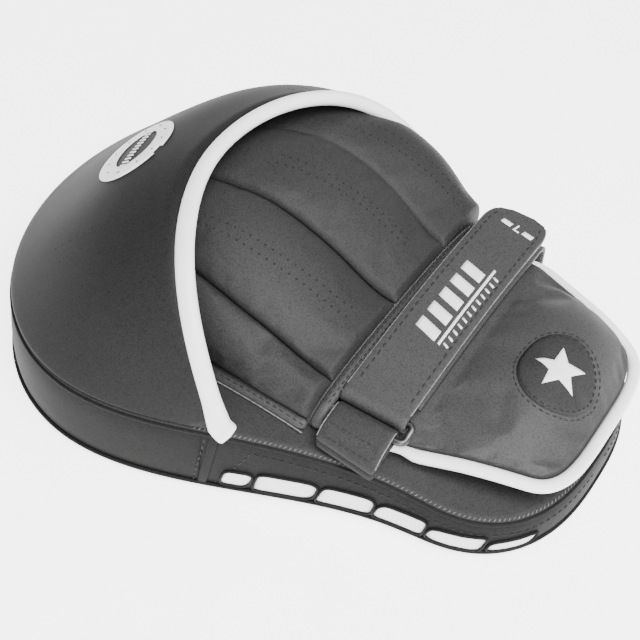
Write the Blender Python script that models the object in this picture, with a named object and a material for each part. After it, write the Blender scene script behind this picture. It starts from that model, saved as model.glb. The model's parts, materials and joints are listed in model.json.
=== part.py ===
"""Left-hand focus mitt: strike pad, padded hand side, wrist cuff and strap.

Frame: X across the mitt (+X thumb side), +Y to the fingertips, +Z up through the
hand side.  The strike face lies on z = 0.  Lengths below are millimetres.
"""
import math

import bmesh
import bpy
from mathutils import Vector

MM = 0.001
GAP = 0.3
CORD_SIDES = 8
RING_SIDES = 12

# Pad plan
TIP_Y = 135.0
WRIST_Y = -135.0
CROWN_Y = 48.0
CROWN_HALF = 107.0
WRIST_HALF = 65.0
TAPER_END_Y = -95.0
CORNER_START_Y = -80.0
CORNER_POWER = 2.6
RIM_SAMPLES = 1440
RIM_STEP = 6
PAD_CENTRE_Y = 10.0
PAD_RINGS = (0.35, 0.75)
PAD_SEGMENTS = 64

# Pad thickness
PAD_THICK = 34.0
PAD_THICK_WRIST = 20.0
PAD_TAPER_END_Y = 0.0
SKIN = 3.0
WALL = 3.6
EDGE_PROFILE = ((2.2, 0.0), (0.8, -0.4), (0.0, -1.7))
WALL_FLARE = 2.4
FOAM_SPLITS = (0.0, 0.42, 0.56, 1.0)

# Side wall
SEAM_Y = -5.0
SEAM_HALF = 2.2
SEAM_RAISE = 0.8
VENT_SPANS = (
    (0.050, 0.112, 5.0, 12.5),
    (0.124, 0.258, 4.4, 13.4),
    (0.270, 0.392, 4.2, 12.9),
    (0.404, 0.517, 4.1, 12.0),
    (0.529, 0.645, 4.0, 10.6),
    (0.657, 0.760, 4.0, 8.2),
)
VENT_DEPTH = 1.5
VENT_PLATE = 1.0
VENT_OVERCUT = 1.0
VENT_STEPS = 7
SEAM_STEPS = 4
FINGER_WALL_STEPS = 56
WRIST_WALL_STEPS = 60

# Finger hood
HOOD_Y = -15.5
HOOD_BULGE = 60.0
HOOD_RISE = 80.5
HOOD_LONG_POWER = 1.55
HOOD_LONG_ROOT = 1.0
HOOD_CROSS_POWER = 2.14
HOOD_CROSS_ROOT = 0.87
HOOD_THICK = 4.0
HOOD_FOOT_REACH = 5.0
HOOD_COLUMNS = 32
HOOD_ROWS = 11
HOOD_ROW_POWER = 1.35
PIPING_WIDTH = 8.0
PIPING_RADIUS = 3.4
PIPING_STEPS = 44
EDGE_STEP = 0.01
BADGE_X = -13.0
BADGE_Y = 89.5
BADGE_LONG = 24.0
BADGE_SHORT = 14.0
BADGE_BAND = 5.5
BADGE_TURN = 15.5
BADGE_THICK = 0.8
BADGE_LIFT = 0.6
RING_STEPS = 40

# Hand panel
PANEL_WRIST_Y = -37.0
PANEL_FINGER_Y = 62.0
PANEL_NEAR_X = -62.5
PANEL_NEAR_X_FINGER = -54.0
PANEL_FAR_X_WRIST = 66.0
PANEL_FAR_X = 75.0
PANEL_FAR_X_FINGER = 60.0
PANEL_WIDEN_Y = 0.0
PANEL_BEND_Y = 5.0
PANEL_UNDER_HOOD = 20.0
PANEL_SOFTEN = 5.0
PANEL_SHOULDER = 3.0
PANEL_RISE_WRIST = 12.0
PANEL_RISE = 39.0
PANEL_RISE_Y = 32.0
PANEL_POWER = 2.6
LINING = 3.0
LINING_GAP = 0.9
CHANNEL_THICK = 7.0
CHANNEL_SEAM_THICK = 2.0
CHANNEL_ROUND_POWER = 0.6
CHANNEL_COUNTS = (10, 9)
PANEL_COUNTS = (32, 9)
BINDING_COUNTS = (32, 1)
BINDING_CLEAR = 0.004
CHANNEL_BOUNDS_WRIST = (0.0, 0.375, 0.525, 0.775, 1.0)
CHANNEL_BOUNDS_FINGER = (0.0, 0.40, 0.565, 0.785, 1.0)
FOOT_MARGIN = 0.035
SEAM_MARGIN = 0.003
BINDING_WIDTH = 4.6
BINDING_THICK = 6.0
FOOT_BINDING_WIDTH = 5.0
FOOT_BINDING_THICK = 3.0
FOOT_BINDING_SLOPE = 1.6
FOOT_BINDING_STEPS = 12

# Strap path across the wrist
STRAP_Y = -57.3
STRAP_WIDTH = 29.0
STRAP_THICK = 2.2
STRAP_BAR_X = -50.5
STRAP_BAR_Z = 41.5
STRAP_TAB_X = 72.0
STRAP_TAB_Z = 55.0
STRAP_BOW = 3.5
STRAP_TUCK = (5.0, 2.5)
STRAP_START = 4.0
STRAP_TIP = 12.0
STRAP_TIP_STEPS = 6
STRAP_TIP_NARROW = 0.35
STRAP_TIP_POWER = 0.8
STRAP_COLUMNS = 4
FOLD_STEPS = 10
FLAP_STEPS = 20
HOOK_STEPS = 10
LOOP_STEPS = 12
BASE_STEPS = 16
PATCH_THICK = 1.2
PATCH_X = (12.0, 60.0)
PATCH_INSET = 2.0
LOOP_EXTRA = 14.0
BASE_START = 9.5
BASE_OVERHANG = 2.0
BASE_KNEE = ((4.0, 1.8), (6.4, 5.5))
BASE_FOOT_X = 7.4
BASE_FOOT_LIFT = 3.0
BAR_RADIUS = 1.5
FOLD_CLEAR = 0.35

# Ring and keeper
KEEPER_BAR_X = -58.5
KEEPER_BAR_Z = 38.9
KEEPER_THICK = 2.0
KEEPER_WIDTH = 27.0
KEEPER_ARC = (-80.0, 108.0, 12)
KEEPER_OUTER_LOW = ((-74.5, 29.1), (-71.4, 33.2), (-67.0, 34.6))
KEEPER_OUTER_HIGH = ((-66.0, 40.4), (-70.4, 37.9), (-74.5, 32.6))
KEEPER_INNER_LOW = ((-69.0, 36.3), (-68.6, 36.35), (-66.4, 36.75))
KEEPER_INNER_HIGH = ((-66.4, 38.3), (-68.6, 36.9), (-69.0, 36.6))
RING_LENGTH = 34.0
RING_CORNER = 1.8

# Wrist bridge and cuff share one surface
WRIST_TOP_Y = -41.6
BRIDGE_END_Y = -73.0
BRIDGE_THICK = 4.2
BRIDGE_ROWS = 4
EDGE_CORD_RADIUS = 1.7
CUFF_START_Y = -73.3
CUFF_END_Y = -131.0
CUFF_NEAR_X = (-52.5, -35.0)
CUFF_FAR_X = (61.5, 40.5)
CUFF_CORNER = 15.0
CUFF_CORNER_POWER = 4.0
CUFF_NEAR_Z = (33.1, 35.0)
CUFF_FAR_Z = 40.0
CUFF_DOME = (6.0, 11.5)
CUFF_DOME_PEAK = 0.45
CUFF_DOME_POWER = 2.6
CUFF_SKEW = 0.34
CUFF_FALL = 11.0
CUFF_EDGE_FALL = (2.0, 8.0)
CUFF_FALL_START = 0.5
CUFF_COLUMNS = 24
CUFF_ROWS = 14
CUFF_SHELL = 2.2
CUFF_FOAM = (2.0, 5.0)
CUFF_FOAM_SWELL = 0.3
CUFF_FOAM_FADE = 0.7
CUFF_LINING = 1.8
CUFF_PIPING_RADIUS = 2.7
CUFF_PIPING_BACK = 0.5
CUFF_SIDE_STEPS = 10
CUFF_END_STEPS = 32
CUFF_CROWN_S = 0.3
CUFF_PATCH_X = 3.0
CUFF_PATCH_Y = -109.0
CUFF_PATCH_RADIUS = 18.5
CUFF_PATCH_LIFT = 0.5
CUFF_PATCH_THICK = 0.8
DISC_RINGS = (0.4, 0.75, 1.0)
EMBLEM_RADIUS = 9.5
EMBLEM_THICK = 0.6
EMBLEM_POINTS = 5
EMBLEM_WAIST = 0.45

# Inside the hand space
GRIP_Y = (6.0, 28.0)
GRIP_X = (-38.0, 46.0)
GRIP_HEIGHT = 10.0
GRIP_EDGE = 1.2
GRIP_COUNTS = (8, 12)
THUMB_LOOP_X = (40.0, 68.0)
THUMB_LOOP_Y = (-17.0, 1.0)
THUMB_LOOP_HEIGHT = 11.0
THUMB_LOOP_THICK = 1.6
THUMB_LOOP_ROUND = 0.7
THUMB_LOOP_STEPS = 14


def smooth(t):
    """Ease from 0 to 1."""
    t = max(0.0, min(1.0, t))
    return t * t * (3.0 - 2.0 * t)


def mix(a, b, t):
    """Value between a and b."""
    return a + (b - a) * t


def half_width(y):
    """Half width of the pad plan at a station along the mitt."""
    if y >= CROWN_Y:
        s = min(1.0, (y - CROWN_Y) / (TIP_Y - CROWN_Y))
        return CROWN_HALF * math.sqrt(1.0 - s * s)
    taper = smooth((y - TAPER_END_Y) / (CROWN_Y - TAPER_END_Y))
    width = mix(WRIST_HALF, CROWN_HALF, taper)
    if y < CORNER_START_Y:
        s = min(1.0, (CORNER_START_Y - y) / (CORNER_START_Y - WRIST_Y))
        width *= (1.0 - s ** CORNER_POWER) ** (1.0 / CORNER_POWER)
    return width


def pad_top(y):
    """Height of the hand side of the pad, thinner towards the wrist."""
    t = smooth((y - WRIST_Y) / (PAD_TAPER_END_Y - WRIST_Y))
    return mix(PAD_THICK_WRIST, PAD_THICK, t)


def build_rim():
    """Half outline from the tip to the wrist with running length."""
    middle = 0.5 * (TIP_Y + WRIST_Y)
    half = 0.5 * (TIP_Y - WRIST_Y)
    points = []
    for k in range(RIM_SAMPLES + 1):
        y = middle + half * math.cos(math.pi * k / RIM_SAMPLES)
        points.append(Vector((half_width(y), y)))
    lengths = [0.0]
    for a, b in zip(points, points[1:]):
        lengths.append(lengths[-1] + (b - a).length)
    return points, lengths


RIM_POINTS, RIM_LENGTHS = build_rim()


def rim_at(s, inset=0.0):
    """Rim point for s in -1..1 (0 at the tip, sign picks the side)."""
    target = min(abs(s), 1.0) * RIM_LENGTHS[-1]
    low = 0
    high = RIM_SAMPLES
    while high - low > 1:
        mid = (low + high) // 2
        if RIM_LENGTHS[mid] <= target:
            low = mid
        else:
            high = mid
    span = RIM_LENGTHS[high] - RIM_LENGTHS[low]
    t = (target - RIM_LENGTHS[low]) / span
    point = RIM_POINTS[low].lerp(RIM_POINTS[high], t)
    before = RIM_POINTS[max(low - RIM_STEP, 0)].copy()
    after = RIM_POINTS[min(high + RIM_STEP, RIM_SAMPLES)].copy()
    if low < RIM_STEP:
        mirror = RIM_POINTS[RIM_STEP - low]
        before = Vector((-mirror.x, mirror.y))
    if high > RIM_SAMPLES - RIM_STEP:
        mirror = RIM_POINTS[2 * RIM_SAMPLES - high - RIM_STEP]
        after = Vector((-mirror.x, mirror.y))
    along = (after - before).normalized()
    normal = Vector((-along.y, along.x))
    point = point - inset * normal
    side = 1.0 if s >= 0.0 else -1.0
    return Vector((side * point.x, point.y))


def rim_param(y):
    """Rim parameter (positive side) where the outline crosses a station."""
    for k in range(RIM_SAMPLES + 1):
        if RIM_POINTS[k].y <= y:
            return RIM_LENGTHS[k] / RIM_LENGTHS[-1]
    return 1.0


def make_material(name, colour, roughness=0.5, metallic=0.0):
    """Plain material of one colour."""
    material = bpy.data.materials.new(name)
    material.use_nodes = True
    shader = material.node_tree.nodes["Principled BSDF"]
    shader.inputs["Base Color"].default_value = (*colour, 1.0)
    shader.inputs["Roughness"].default_value = roughness
    shader.inputs["Metallic"].default_value = metallic
    return material


BLACK = (0.035, 0.035, 0.037)
CHARCOAL = (0.06, 0.06, 0.065)
GREY = (0.22, 0.22, 0.23)
WHITE = (0.86, 0.86, 0.84)
FOAM = (0.30, 0.31, 0.33)
PALE_FOAM = (0.75, 0.74, 0.68)
STEEL = (0.35, 0.35, 0.36)


def new_object(name, mesh_builder, colour):
    """Make a mesh object from a bmesh, scaled from millimetres."""
    mesh = bpy.data.meshes.new(name)
    bmesh.ops.recalc_face_normals(mesh_builder, faces=mesh_builder.faces)
    bmesh.ops.scale(mesh_builder, vec=(MM, MM, MM), verts=mesh_builder.verts)
    mesh_builder.to_mesh(mesh)
    mesh_builder.free()
    obj = bpy.data.objects.new(name, mesh)
    bpy.context.collection.objects.link(obj)
    obj.data.materials.append(make_material(name + "_mat", colour))
    return obj


def add_grid(builder, rows, flip, wrap):
    """Quads over rows of vertices; wrap closes each row on itself."""
    for a, b in zip(rows, rows[1:]):
        count = len(a)
        last = count if wrap else count - 1
        for i in range(last):
            k = (i + 1) % count
            quad = [a[i], a[k], b[k], b[i]]
            if flip:
                quad.reverse()
            builder.faces.new(quad)


def add_sheet(builder, upper, lower):
    """Close two equal point grids into one solid."""
    top = [[builder.verts.new(p) for p in row] for row in upper]
    base = [[builder.verts.new(p) for p in row] for row in lower]
    add_grid(builder, top, False, False)
    add_grid(builder, base, True, False)
    for a, b in ((top[0], base[0]), (base[-1], top[-1])):
        add_grid(builder, [a, b], True, False)
    first = [row[0] for row in top], [row[0] for row in base]
    final = [row[-1] for row in base], [row[-1] for row in top]
    for a, b in (first, final):
        add_grid(builder, [a, b], False, False)


def sheet_solid(name, upper, lower, colour):
    """Closed body between two equal point grids."""
    builder = bmesh.new()
    add_sheet(builder, upper, lower)
    return new_object(name, builder, colour)


def grid_normals(grid):
    """Unit normals of a point grid, found from its neighbours."""
    rows = len(grid)
    columns = len(grid[0])
    result = []
    for j in range(rows):
        line = []
        for i in range(columns):
            across = grid[j][min(i + 1, columns - 1)] - grid[j][max(i - 1, 0)]
            along = grid[min(j + 1, rows - 1)][i] - grid[max(j - 1, 0)][i]
            normal = across.cross(along)
            line.append(normal.normalized())
        result.append(line)
    return result


def offset_grid(grid, normals, distance):
    """Move a grid along its normals by a number or by distance(j, i)."""
    moved = []
    for j, row in enumerate(grid):
        line = []
        for i, point in enumerate(row):
            step = distance(j, i) if callable(distance) else distance
            line.append(point + normals[j][i] * step)
        moved.append(line)
    return moved


def plan_slab(name, inset, low, high, colour, rounded=0):
    """Pad layer over the plan outline; low and high are heights by station.

    rounded: 1 rolls the upper rim over, -1 rolls the lower rim, 0 leaves it square.
    """
    square = ((0.0, 0.0),)
    centre = Vector((0.0, PAD_CENTRE_Y))
    builder = bmesh.new()

    def ring(extra, drop, height, scale):
        verts = []
        for k in range(PAD_SEGMENTS):
            s = 2.0 * (k + 0.5) / PAD_SEGMENTS - 1.0
            p = centre.lerp(rim_at(s, inset + extra), scale)
            verts.append(builder.verts.new((p.x, p.y, height(p.y) + drop)))
        return verts

    def face_rings(height, edge, sign):
        rings = [ring(edge[0][0], 0.0, height, scale) for scale in PAD_RINGS]
        rings += [ring(extra, sign * drop, height, 1.0) for extra, drop in edge]
        return rings

    top = face_rings(high, EDGE_PROFILE if rounded > 0 else square, 1.0)
    base = face_rings(low, EDGE_PROFILE if rounded < 0 else square, -1.0)
    add_grid(builder, top, True, True)
    add_grid(builder, base, False, True)
    add_grid(builder, [top[-1], base[-1]], True, True)
    for rings, height, flip in ((top, high, False), (base, low, True)):
        hub = builder.verts.new((0.0, PAD_CENTRE_Y, height(PAD_CENTRE_Y)))
        inner = rings[0]
        for k in range(PAD_SEGMENTS):
            tri = [hub, inner[k], inner[(k + 1) % PAD_SEGMENTS]]
            if flip:
                tri.reverse()
            builder.faces.new(tri)
    return new_object(name, builder, colour)


def wall_grid(s_from, s_to, inset, low, high, count):
    """Lower and upper point rows of an upright wall along the rim."""
    rows = [[], []]
    for k in range(count + 1):
        s = mix(s_from, s_to, k / count)
        s = s - 2.0 if s > 1.0 else s
        station = rim_at(s, inset).y
        for row, height in zip(rows, (low, high)):
            z = height(station)
            p = rim_at(s, inset - WALL_FLARE * (1.0 - z / pad_top(station)))
            row.append(Vector((p.x, p.y, z)))
    return rows


def wall_solid(builder, s_from, s_to, outer, inner, low, high, count):
    """Upright wall along the rim between two insets."""
    outside = wall_grid(s_from, s_to, outer, low, high, count)
    inside = wall_grid(s_from, s_to, inner, low, high, count)
    add_sheet(builder, outside, inside)


def wall_low(_y):
    return SKIN + GAP


def wall_high(y):
    return pad_top(y) - SKIN - GAP


def layer_height(fraction, lift):
    """Height function of an inner foam boundary."""
    def height(y):
        return mix(SKIN + GAP, pad_top(y) - SKIN - GAP, fraction) + lift
    return height


def build_pad():
    """Strike face, three inner layers and the palm cover."""
    plan_slab("strike_face", -WALL_FLARE, lambda y: 0.0, lambda y: SKIN, BLACK, rounded=-1)
    names = ("impact_foam", "damping_layer", "shock_foam")
    colours = (FOAM, STEEL, PALE_FOAM)
    inner = WALL + GAP
    for name, colour, low, high in zip(names, colours, FOAM_SPLITS, FOAM_SPLITS[1:]):
        lift = GAP if low > 0.0 else 0.0
        plan_slab(name, inner, layer_height(low, lift), layer_height(high, 0.0), colour)
    plan_slab("palm_cover", 0.0, lambda y: pad_top(y) - SKIN, pad_top, BLACK, rounded=1)


def vent_solid(builder, span, side, margin, depth_out, depth_in):
    """One curved vent block; span gives rim fractions and heights."""
    start, stop, low, high = span
    seam = rim_param(SEAM_Y)
    length = RIM_LENGTHS[-1]
    s_from = mix(seam, 1.0, start) + margin / length
    s_to = mix(seam, 1.0, stop) - margin / length
    if side < 0:
        s_from, s_to = -s_to, -s_from
    wall_solid(
        builder, s_from, s_to, depth_out, depth_in,
        lambda y: low + margin, lambda y: high - margin, VENT_STEPS,
    )


def build_gussets():
    """Side walls with their vents and the seams between them."""
    seam = rim_param(SEAM_Y)
    clear = (SEAM_HALF + GAP) / RIM_LENGTHS[-1]
    builder = bmesh.new()
    wall_solid(
        builder, -seam + clear, seam - clear, 0.0, WALL, wall_low, wall_high,
        FINGER_WALL_STEPS,
    )
    new_object("finger_gusset", builder, CHARCOAL)
    builder = bmesh.new()
    wall_solid(
        builder, seam + clear, 2.0 - seam - clear, 0.0, WALL, wall_low, wall_high,
        WRIST_WALL_STEPS,
    )
    wrist_gusset = new_object("wrist_gusset", builder, CHARCOAL)
    builder = bmesh.new()
    for side in (1, -1):
        for span in VENT_SPANS:
            vent_solid(builder, span, side, 0.0, -VENT_OVERCUT, VENT_DEPTH)
    cutter = new_object("vent_cutter", builder, GREY)
    cutter.hide_render = True
    cutter.display_type = "WIRE"
    cut = wrist_gusset.modifiers.new("vents", "BOOLEAN")
    cut.operation = "DIFFERENCE"
    cut.solver = "EXACT"
    cut.object = cutter
    for side, label in ((1, "far"), (-1, "near")):
        for number, span in enumerate(VENT_SPANS, start=1):
            builder = bmesh.new()
            inner = VENT_DEPTH - GAP
            vent_solid(builder, span, side, GAP, inner - VENT_PLATE, inner)
            new_object("vent_%s_%d" % (label, number), builder, WHITE)
        builder = bmesh.new()
        width = SEAM_HALF / RIM_LENGTHS[-1]
        wall_solid(
            builder, side * seam - width, side * seam + width,
            -SEAM_RAISE, WALL, wall_low, wall_high, SEAM_STEPS,
        )
        new_object("gusset_seam_%s" % label, builder, BLACK)


def hood_height(x, y):
    """Height of the hood's outer skin over a plan point."""
    s = max(0.0, min(1.0, (y - HOOD_Y) / (TIP_Y - HOOD_Y)))
    rise = HOOD_RISE * (1.0 - s ** HOOD_LONG_POWER) ** (1.0 / HOOD_LONG_ROOT)
    width = max(half_width(y), 1.0)
    r = min(1.0, abs(x) / width)
    cross = (1.0 - r ** HOOD_CROSS_POWER) ** HOOD_CROSS_ROOT
    return pad_top(y) + GAP + rise * cross


def hood_edge(s, advance):
    """Point on the hood's opening edge, s from -1 (near) to 1 (far)."""
    y = HOOD_Y + advance + HOOD_BULGE * (1.0 - s * s)
    x = s * half_width(y)
    return Vector((x, y, hood_height(x, y)))


def hood_point(s, v):
    """Point of the hood skin from its opening edge (v = 0) to the rim (v = 1)."""
    start = hood_edge(s, PIPING_WIDTH)
    end = rim_at(s * rim_param(HOOD_Y + PIPING_WIDTH + HOOD_FOOT_REACH))
    x = mix(start.x, end.x, v)
    y = mix(start.y, end.y, v)
    return Vector((x, y, hood_height(x, y)))


def hold_above_pad(grid, clearance):
    """Raise the points of a grid that come too near the pad."""
    for row in grid:
        for point in row:
            point.z = max(point.z, pad_top(point.y) + clearance)


def build_hood():
    """Hood skin with its binding and badge."""
    upper = []
    for j in range(HOOD_ROWS + 1):
        v = 1.0 - (1.0 - j / HOOD_ROWS) ** HOOD_ROW_POWER
        row = [hood_point(2.0 * i / HOOD_COLUMNS - 1.0, v) for i in range(HOOD_COLUMNS + 1)]
        upper.append(row)
    normals = grid_normals(upper)
    lower = offset_grid(upper, normals, -HOOD_THICK)
    hold_above_pad(lower, GAP)
    sheet_solid("finger_hood", upper, lower, BLACK)

    build_hood_piping()
    build_badge()


def build_hood_piping():
    """Round binding just outside the hood's opening edge."""
    reach = PIPING_RADIUS + 2.0 * GAP
    path = []
    for k in range(PIPING_STEPS + 1):
        s = 2.0 * k / PIPING_STEPS - 1.0
        edge = hood_edge(s, PIPING_WIDTH)
        along = hood_edge(s + EDGE_STEP, PIPING_WIDTH) - hood_edge(s - EDGE_STEP, PIPING_WIDTH)
        inside = hood_edge(s, PIPING_WIDTH + 1.0) - edge
        normal = along.cross(inside).normalized()
        outward = along.cross(normal).normalized()
        point = edge + outward * reach - normal * 0.5 * HOOD_THICK
        point.z = max(point.z, pad_top(point.y) + PIPING_RADIUS + 2.0 * GAP)
        path.append(point)
    cord("hood_piping", path, PIPING_RADIUS, WHITE, CORD_SIDES)


def build_badge():
    """Plain oval ring lying on the crown of the hood."""
    builder = bmesh.new()
    rings = []
    low = GAP + BADGE_LIFT
    high = low + BADGE_THICK
    turn = math.radians(BADGE_TURN)
    for inset, lift in ((BADGE_BAND, low), (BADGE_BAND, high), (0.0, high), (0.0, low)):
        verts = []
        for k in range(RING_STEPS):
            angle = 2.0 * math.pi * k / RING_STEPS
            along = (BADGE_LONG - inset) * math.cos(angle)
            across = (BADGE_SHORT - inset) * math.sin(angle)
            x = BADGE_X + along * math.cos(turn) - across * math.sin(turn)
            y = BADGE_Y + along * math.sin(turn) + across * math.cos(turn)
            verts.append(builder.verts.new((x, y, hood_height(x, y) + lift)))
        rings.append(verts)
    rings.append(rings[0])
    add_grid(builder, rings, False, True)
    new_object("hood_badge", builder, WHITE)


def cord(name, path, radius, colour, sides, cyclic=False, metallic=0.0):
    """Round cord along a path, made as a bevelled curve with filled caps."""
    curve = bpy.data.curves.new(name, "CURVE")
    curve.dimensions = "3D"
    curve.bevel_depth = radius * MM
    curve.bevel_resolution = max(0, sides // 4 - 1)
    curve.use_fill_caps = not cyclic
    spline = curve.splines.new("POLY")
    spline.points.add(len(path) - 1)
    spline.use_cyclic_u = cyclic
    for slot, point in zip(spline.points, path):
        slot.co = (point.x * MM, point.y * MM, point.z * MM, 1.0)
    obj = bpy.data.objects.new(name, curve)
    bpy.context.collection.objects.link(obj)
    curve.materials.append(make_material(name + "_mat", colour, 0.45, metallic))
    return obj


def soft_min(a, b, width):
    """Smaller of two heights with a rounded changeover."""
    h = max(width - abs(a - b), 0.0) / width
    return min(a, b) - h * h * width * 0.25


def panel_feet(y):
    """Near and far foot positions of the panel's inner surface."""
    bend = smooth((y - PANEL_BEND_Y) / (PANEL_FINGER_Y - PANEL_BEND_Y))
    near = mix(PANEL_NEAR_X, PANEL_NEAR_X_FINGER, bend)
    widen = smooth((y - PANEL_WRIST_Y) / (PANEL_WIDEN_Y - PANEL_WRIST_Y))
    far = mix(PANEL_FAR_X_WRIST, PANEL_FAR_X, widen)
    return near, mix(far, PANEL_FAR_X_FINGER, bend)


def panel_base(u, v):
    """Inner surface of the hand panel, u from the far foot to the near foot."""
    y = mix(PANEL_WRIST_Y, PANEL_FINGER_Y, v)
    near, far = panel_feet(y)
    rise = mix(
        PANEL_RISE_WRIST, PANEL_RISE,
        smooth((y - PANEL_WRIST_Y) / (PANEL_RISE_Y - PANEL_WRIST_Y)),
    )
    angle = math.pi * u
    power = 2.0 / PANEL_POWER
    across = math.copysign(abs(math.cos(angle)) ** power, math.cos(angle))
    height = abs(math.sin(angle)) ** power
    x = mix(near, far, 0.5 + 0.5 * across)
    lift = rise * height + PANEL_SHOULDER * across * height
    limit = hood_height(x, y) - pad_top(y) - GAP - PANEL_UNDER_HOOD
    lift = max(soft_min(lift, limit, PANEL_SOFTEN), 0.0)
    return Vector((x, y, pad_top(y) + GAP + lift))


def panel_offset(u, v, distance):
    """Point a given distance outside the panel's inner surface."""
    u_low = max(u - EDGE_STEP, 0.0)
    u_high = min(u + EDGE_STEP, 1.0)
    v_low = max(v - EDGE_STEP, 0.0)
    v_high = min(v + EDGE_STEP, 1.0)
    across = panel_base(u_high, v) - panel_base(u_low, v)
    along = panel_base(u, v_high) - panel_base(u, v_low)
    normal = along.cross(across).normalized()
    point = panel_base(u, v) + normal * distance
    point.z = max(point.z, pad_top(point.y) + GAP)
    return point


def panel_solid(name, u_ends, v_range, low, high, counts, colour):
    """Layer of the hand panel between two offsets.

    u_ends gives the (wrist, finger) limits of each side; high may vary across.
    """
    columns, rows = counts
    upper = []
    lower = []
    for j in range(rows + 1):
        v = mix(v_range[0], v_range[1], j / rows)
        top_row = []
        low_row = []
        for i in range(columns + 1):
            t = i / columns
            u = mix(mix(*u_ends[0], v), mix(*u_ends[1], v), t)
            height = high(t) if callable(high) else high
            top_row.append(panel_offset(u, v, height))
            low_row.append(panel_offset(u, v, low))
        upper.append(top_row)
        lower.append(low_row)
    return sheet_solid(name, upper, lower, colour)


def channel_thickness(t):
    """Pillow section of a padded channel."""
    return LINING + LINING_GAP + mix(
        CHANNEL_SEAM_THICK, CHANNEL_THICK, (4.0 * t * (1.0 - t)) ** CHANNEL_ROUND_POWER
    )


def build_panel():
    """Lining, padded channels and bindings of the hand panel."""
    length = PANEL_FINGER_Y - PANEL_WRIST_Y
    edge = BINDING_WIDTH / length
    whole = ((0.0, 0.0), (1.0, 1.0))
    panel_solid("panel_lining", whole, (0.0, 1.0), 0.0, LINING, PANEL_COUNTS, GREY)
    names = ("channel_index", "channel_middle", "channel_ring", "channel_little")
    for index, name in enumerate(names):
        ends = []
        for place, sign in ((index, 1.0), (index + 1, -1.0)):
            outer = place in (0, len(names))
            margin = sign * (FOOT_MARGIN if outer else SEAM_MARGIN)
            wrist = CHANNEL_BOUNDS_WRIST[place] + margin
            ends.append((wrist, CHANNEL_BOUNDS_FINGER[place] + margin))
        panel_solid(
            name, ends, (edge + BINDING_CLEAR, 1.0), LINING + LINING_GAP,
            channel_thickness, CHANNEL_COUNTS, BLACK,
        )
    inner = ((FOOT_MARGIN, FOOT_MARGIN), (1.0 - FOOT_MARGIN, 1.0 - FOOT_MARGIN))
    panel_solid(
        "panel_wrist_binding", inner, (0.0, edge), LINING + LINING_GAP,
        BINDING_THICK, BINDING_COUNTS, BLACK,
    )
    for name, side in (("panel_foot_near", -1), ("panel_foot_far", 1)):
        upper = []
        lower = []
        for j in range(FOOT_BINDING_STEPS + 1):
            v = j / FOOT_BINDING_STEPS
            base = panel_base(0.0 if side > 0 else 1.0, v)
            x_in = base.x + side * (LINING + 2.0 * GAP)
            x_out = x_in + side * FOOT_BINDING_WIDTH
            low_z = pad_top(base.y) + GAP
            top_z = low_z + FOOT_BINDING_THICK
            outer_z = top_z - FOOT_BINDING_SLOPE
            upper.append([Vector((x_in, base.y, top_z)), Vector((x_out, base.y, outer_z))])
            lower.append([Vector((x_in, base.y, low_z)), Vector((x_out, base.y, low_z))])
        sheet_solid(name, upper, lower, BLACK)


def strap_top(x):
    """Upper face height of the closed strap flap."""
    t = (x - STRAP_BAR_X) / (STRAP_TAB_X - STRAP_BAR_X)
    start = STRAP_BAR_Z + BAR_RADIUS + FOLD_CLEAR + STRAP_THICK
    return mix(start, STRAP_TAB_Z, t) + STRAP_BOW * math.sin(math.pi * max(t, 0.0))


def ribbon(name, path, thickness, y_from, y_to, colour):
    """Strip of constant thickness; path is the upper face in the XZ plane."""
    upper = []
    lower = []
    count = len(path)
    for k, point in enumerate(path):
        before = path[max(k - 1, 0)]
        after = path[min(k + 1, count - 1)]
        along = (after - before).normalized()
        down = Vector((along.y, -along.x))
        under = point + down * thickness
        upper.append([Vector((point.x, y, point.y)) for y in (y_from, y_to)])
        lower.append([Vector((under.x, y, under.y)) for y in (y_from, y_to)])
    return sheet_solid(name, upper, lower, colour)


def strap_line(x_from, x_to, drop, count):
    """Points along the strap at a drop below its upper face."""
    points = []
    for k in range(count + 1):
        x = mix(x_from, x_to, k / count)
        points.append(Vector((x, strap_top(x) - drop)))
    return points


def fold_arc(centre, radius, start, stop, count):
    """Points on an arc between two angles in degrees."""
    points = []
    for k in range(count + 1):
        angle = math.radians(mix(start, stop, k / count))
        offset = Vector((math.cos(angle), math.sin(angle))) * radius
        points.append(Vector(centre) + offset)
    return points


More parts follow.
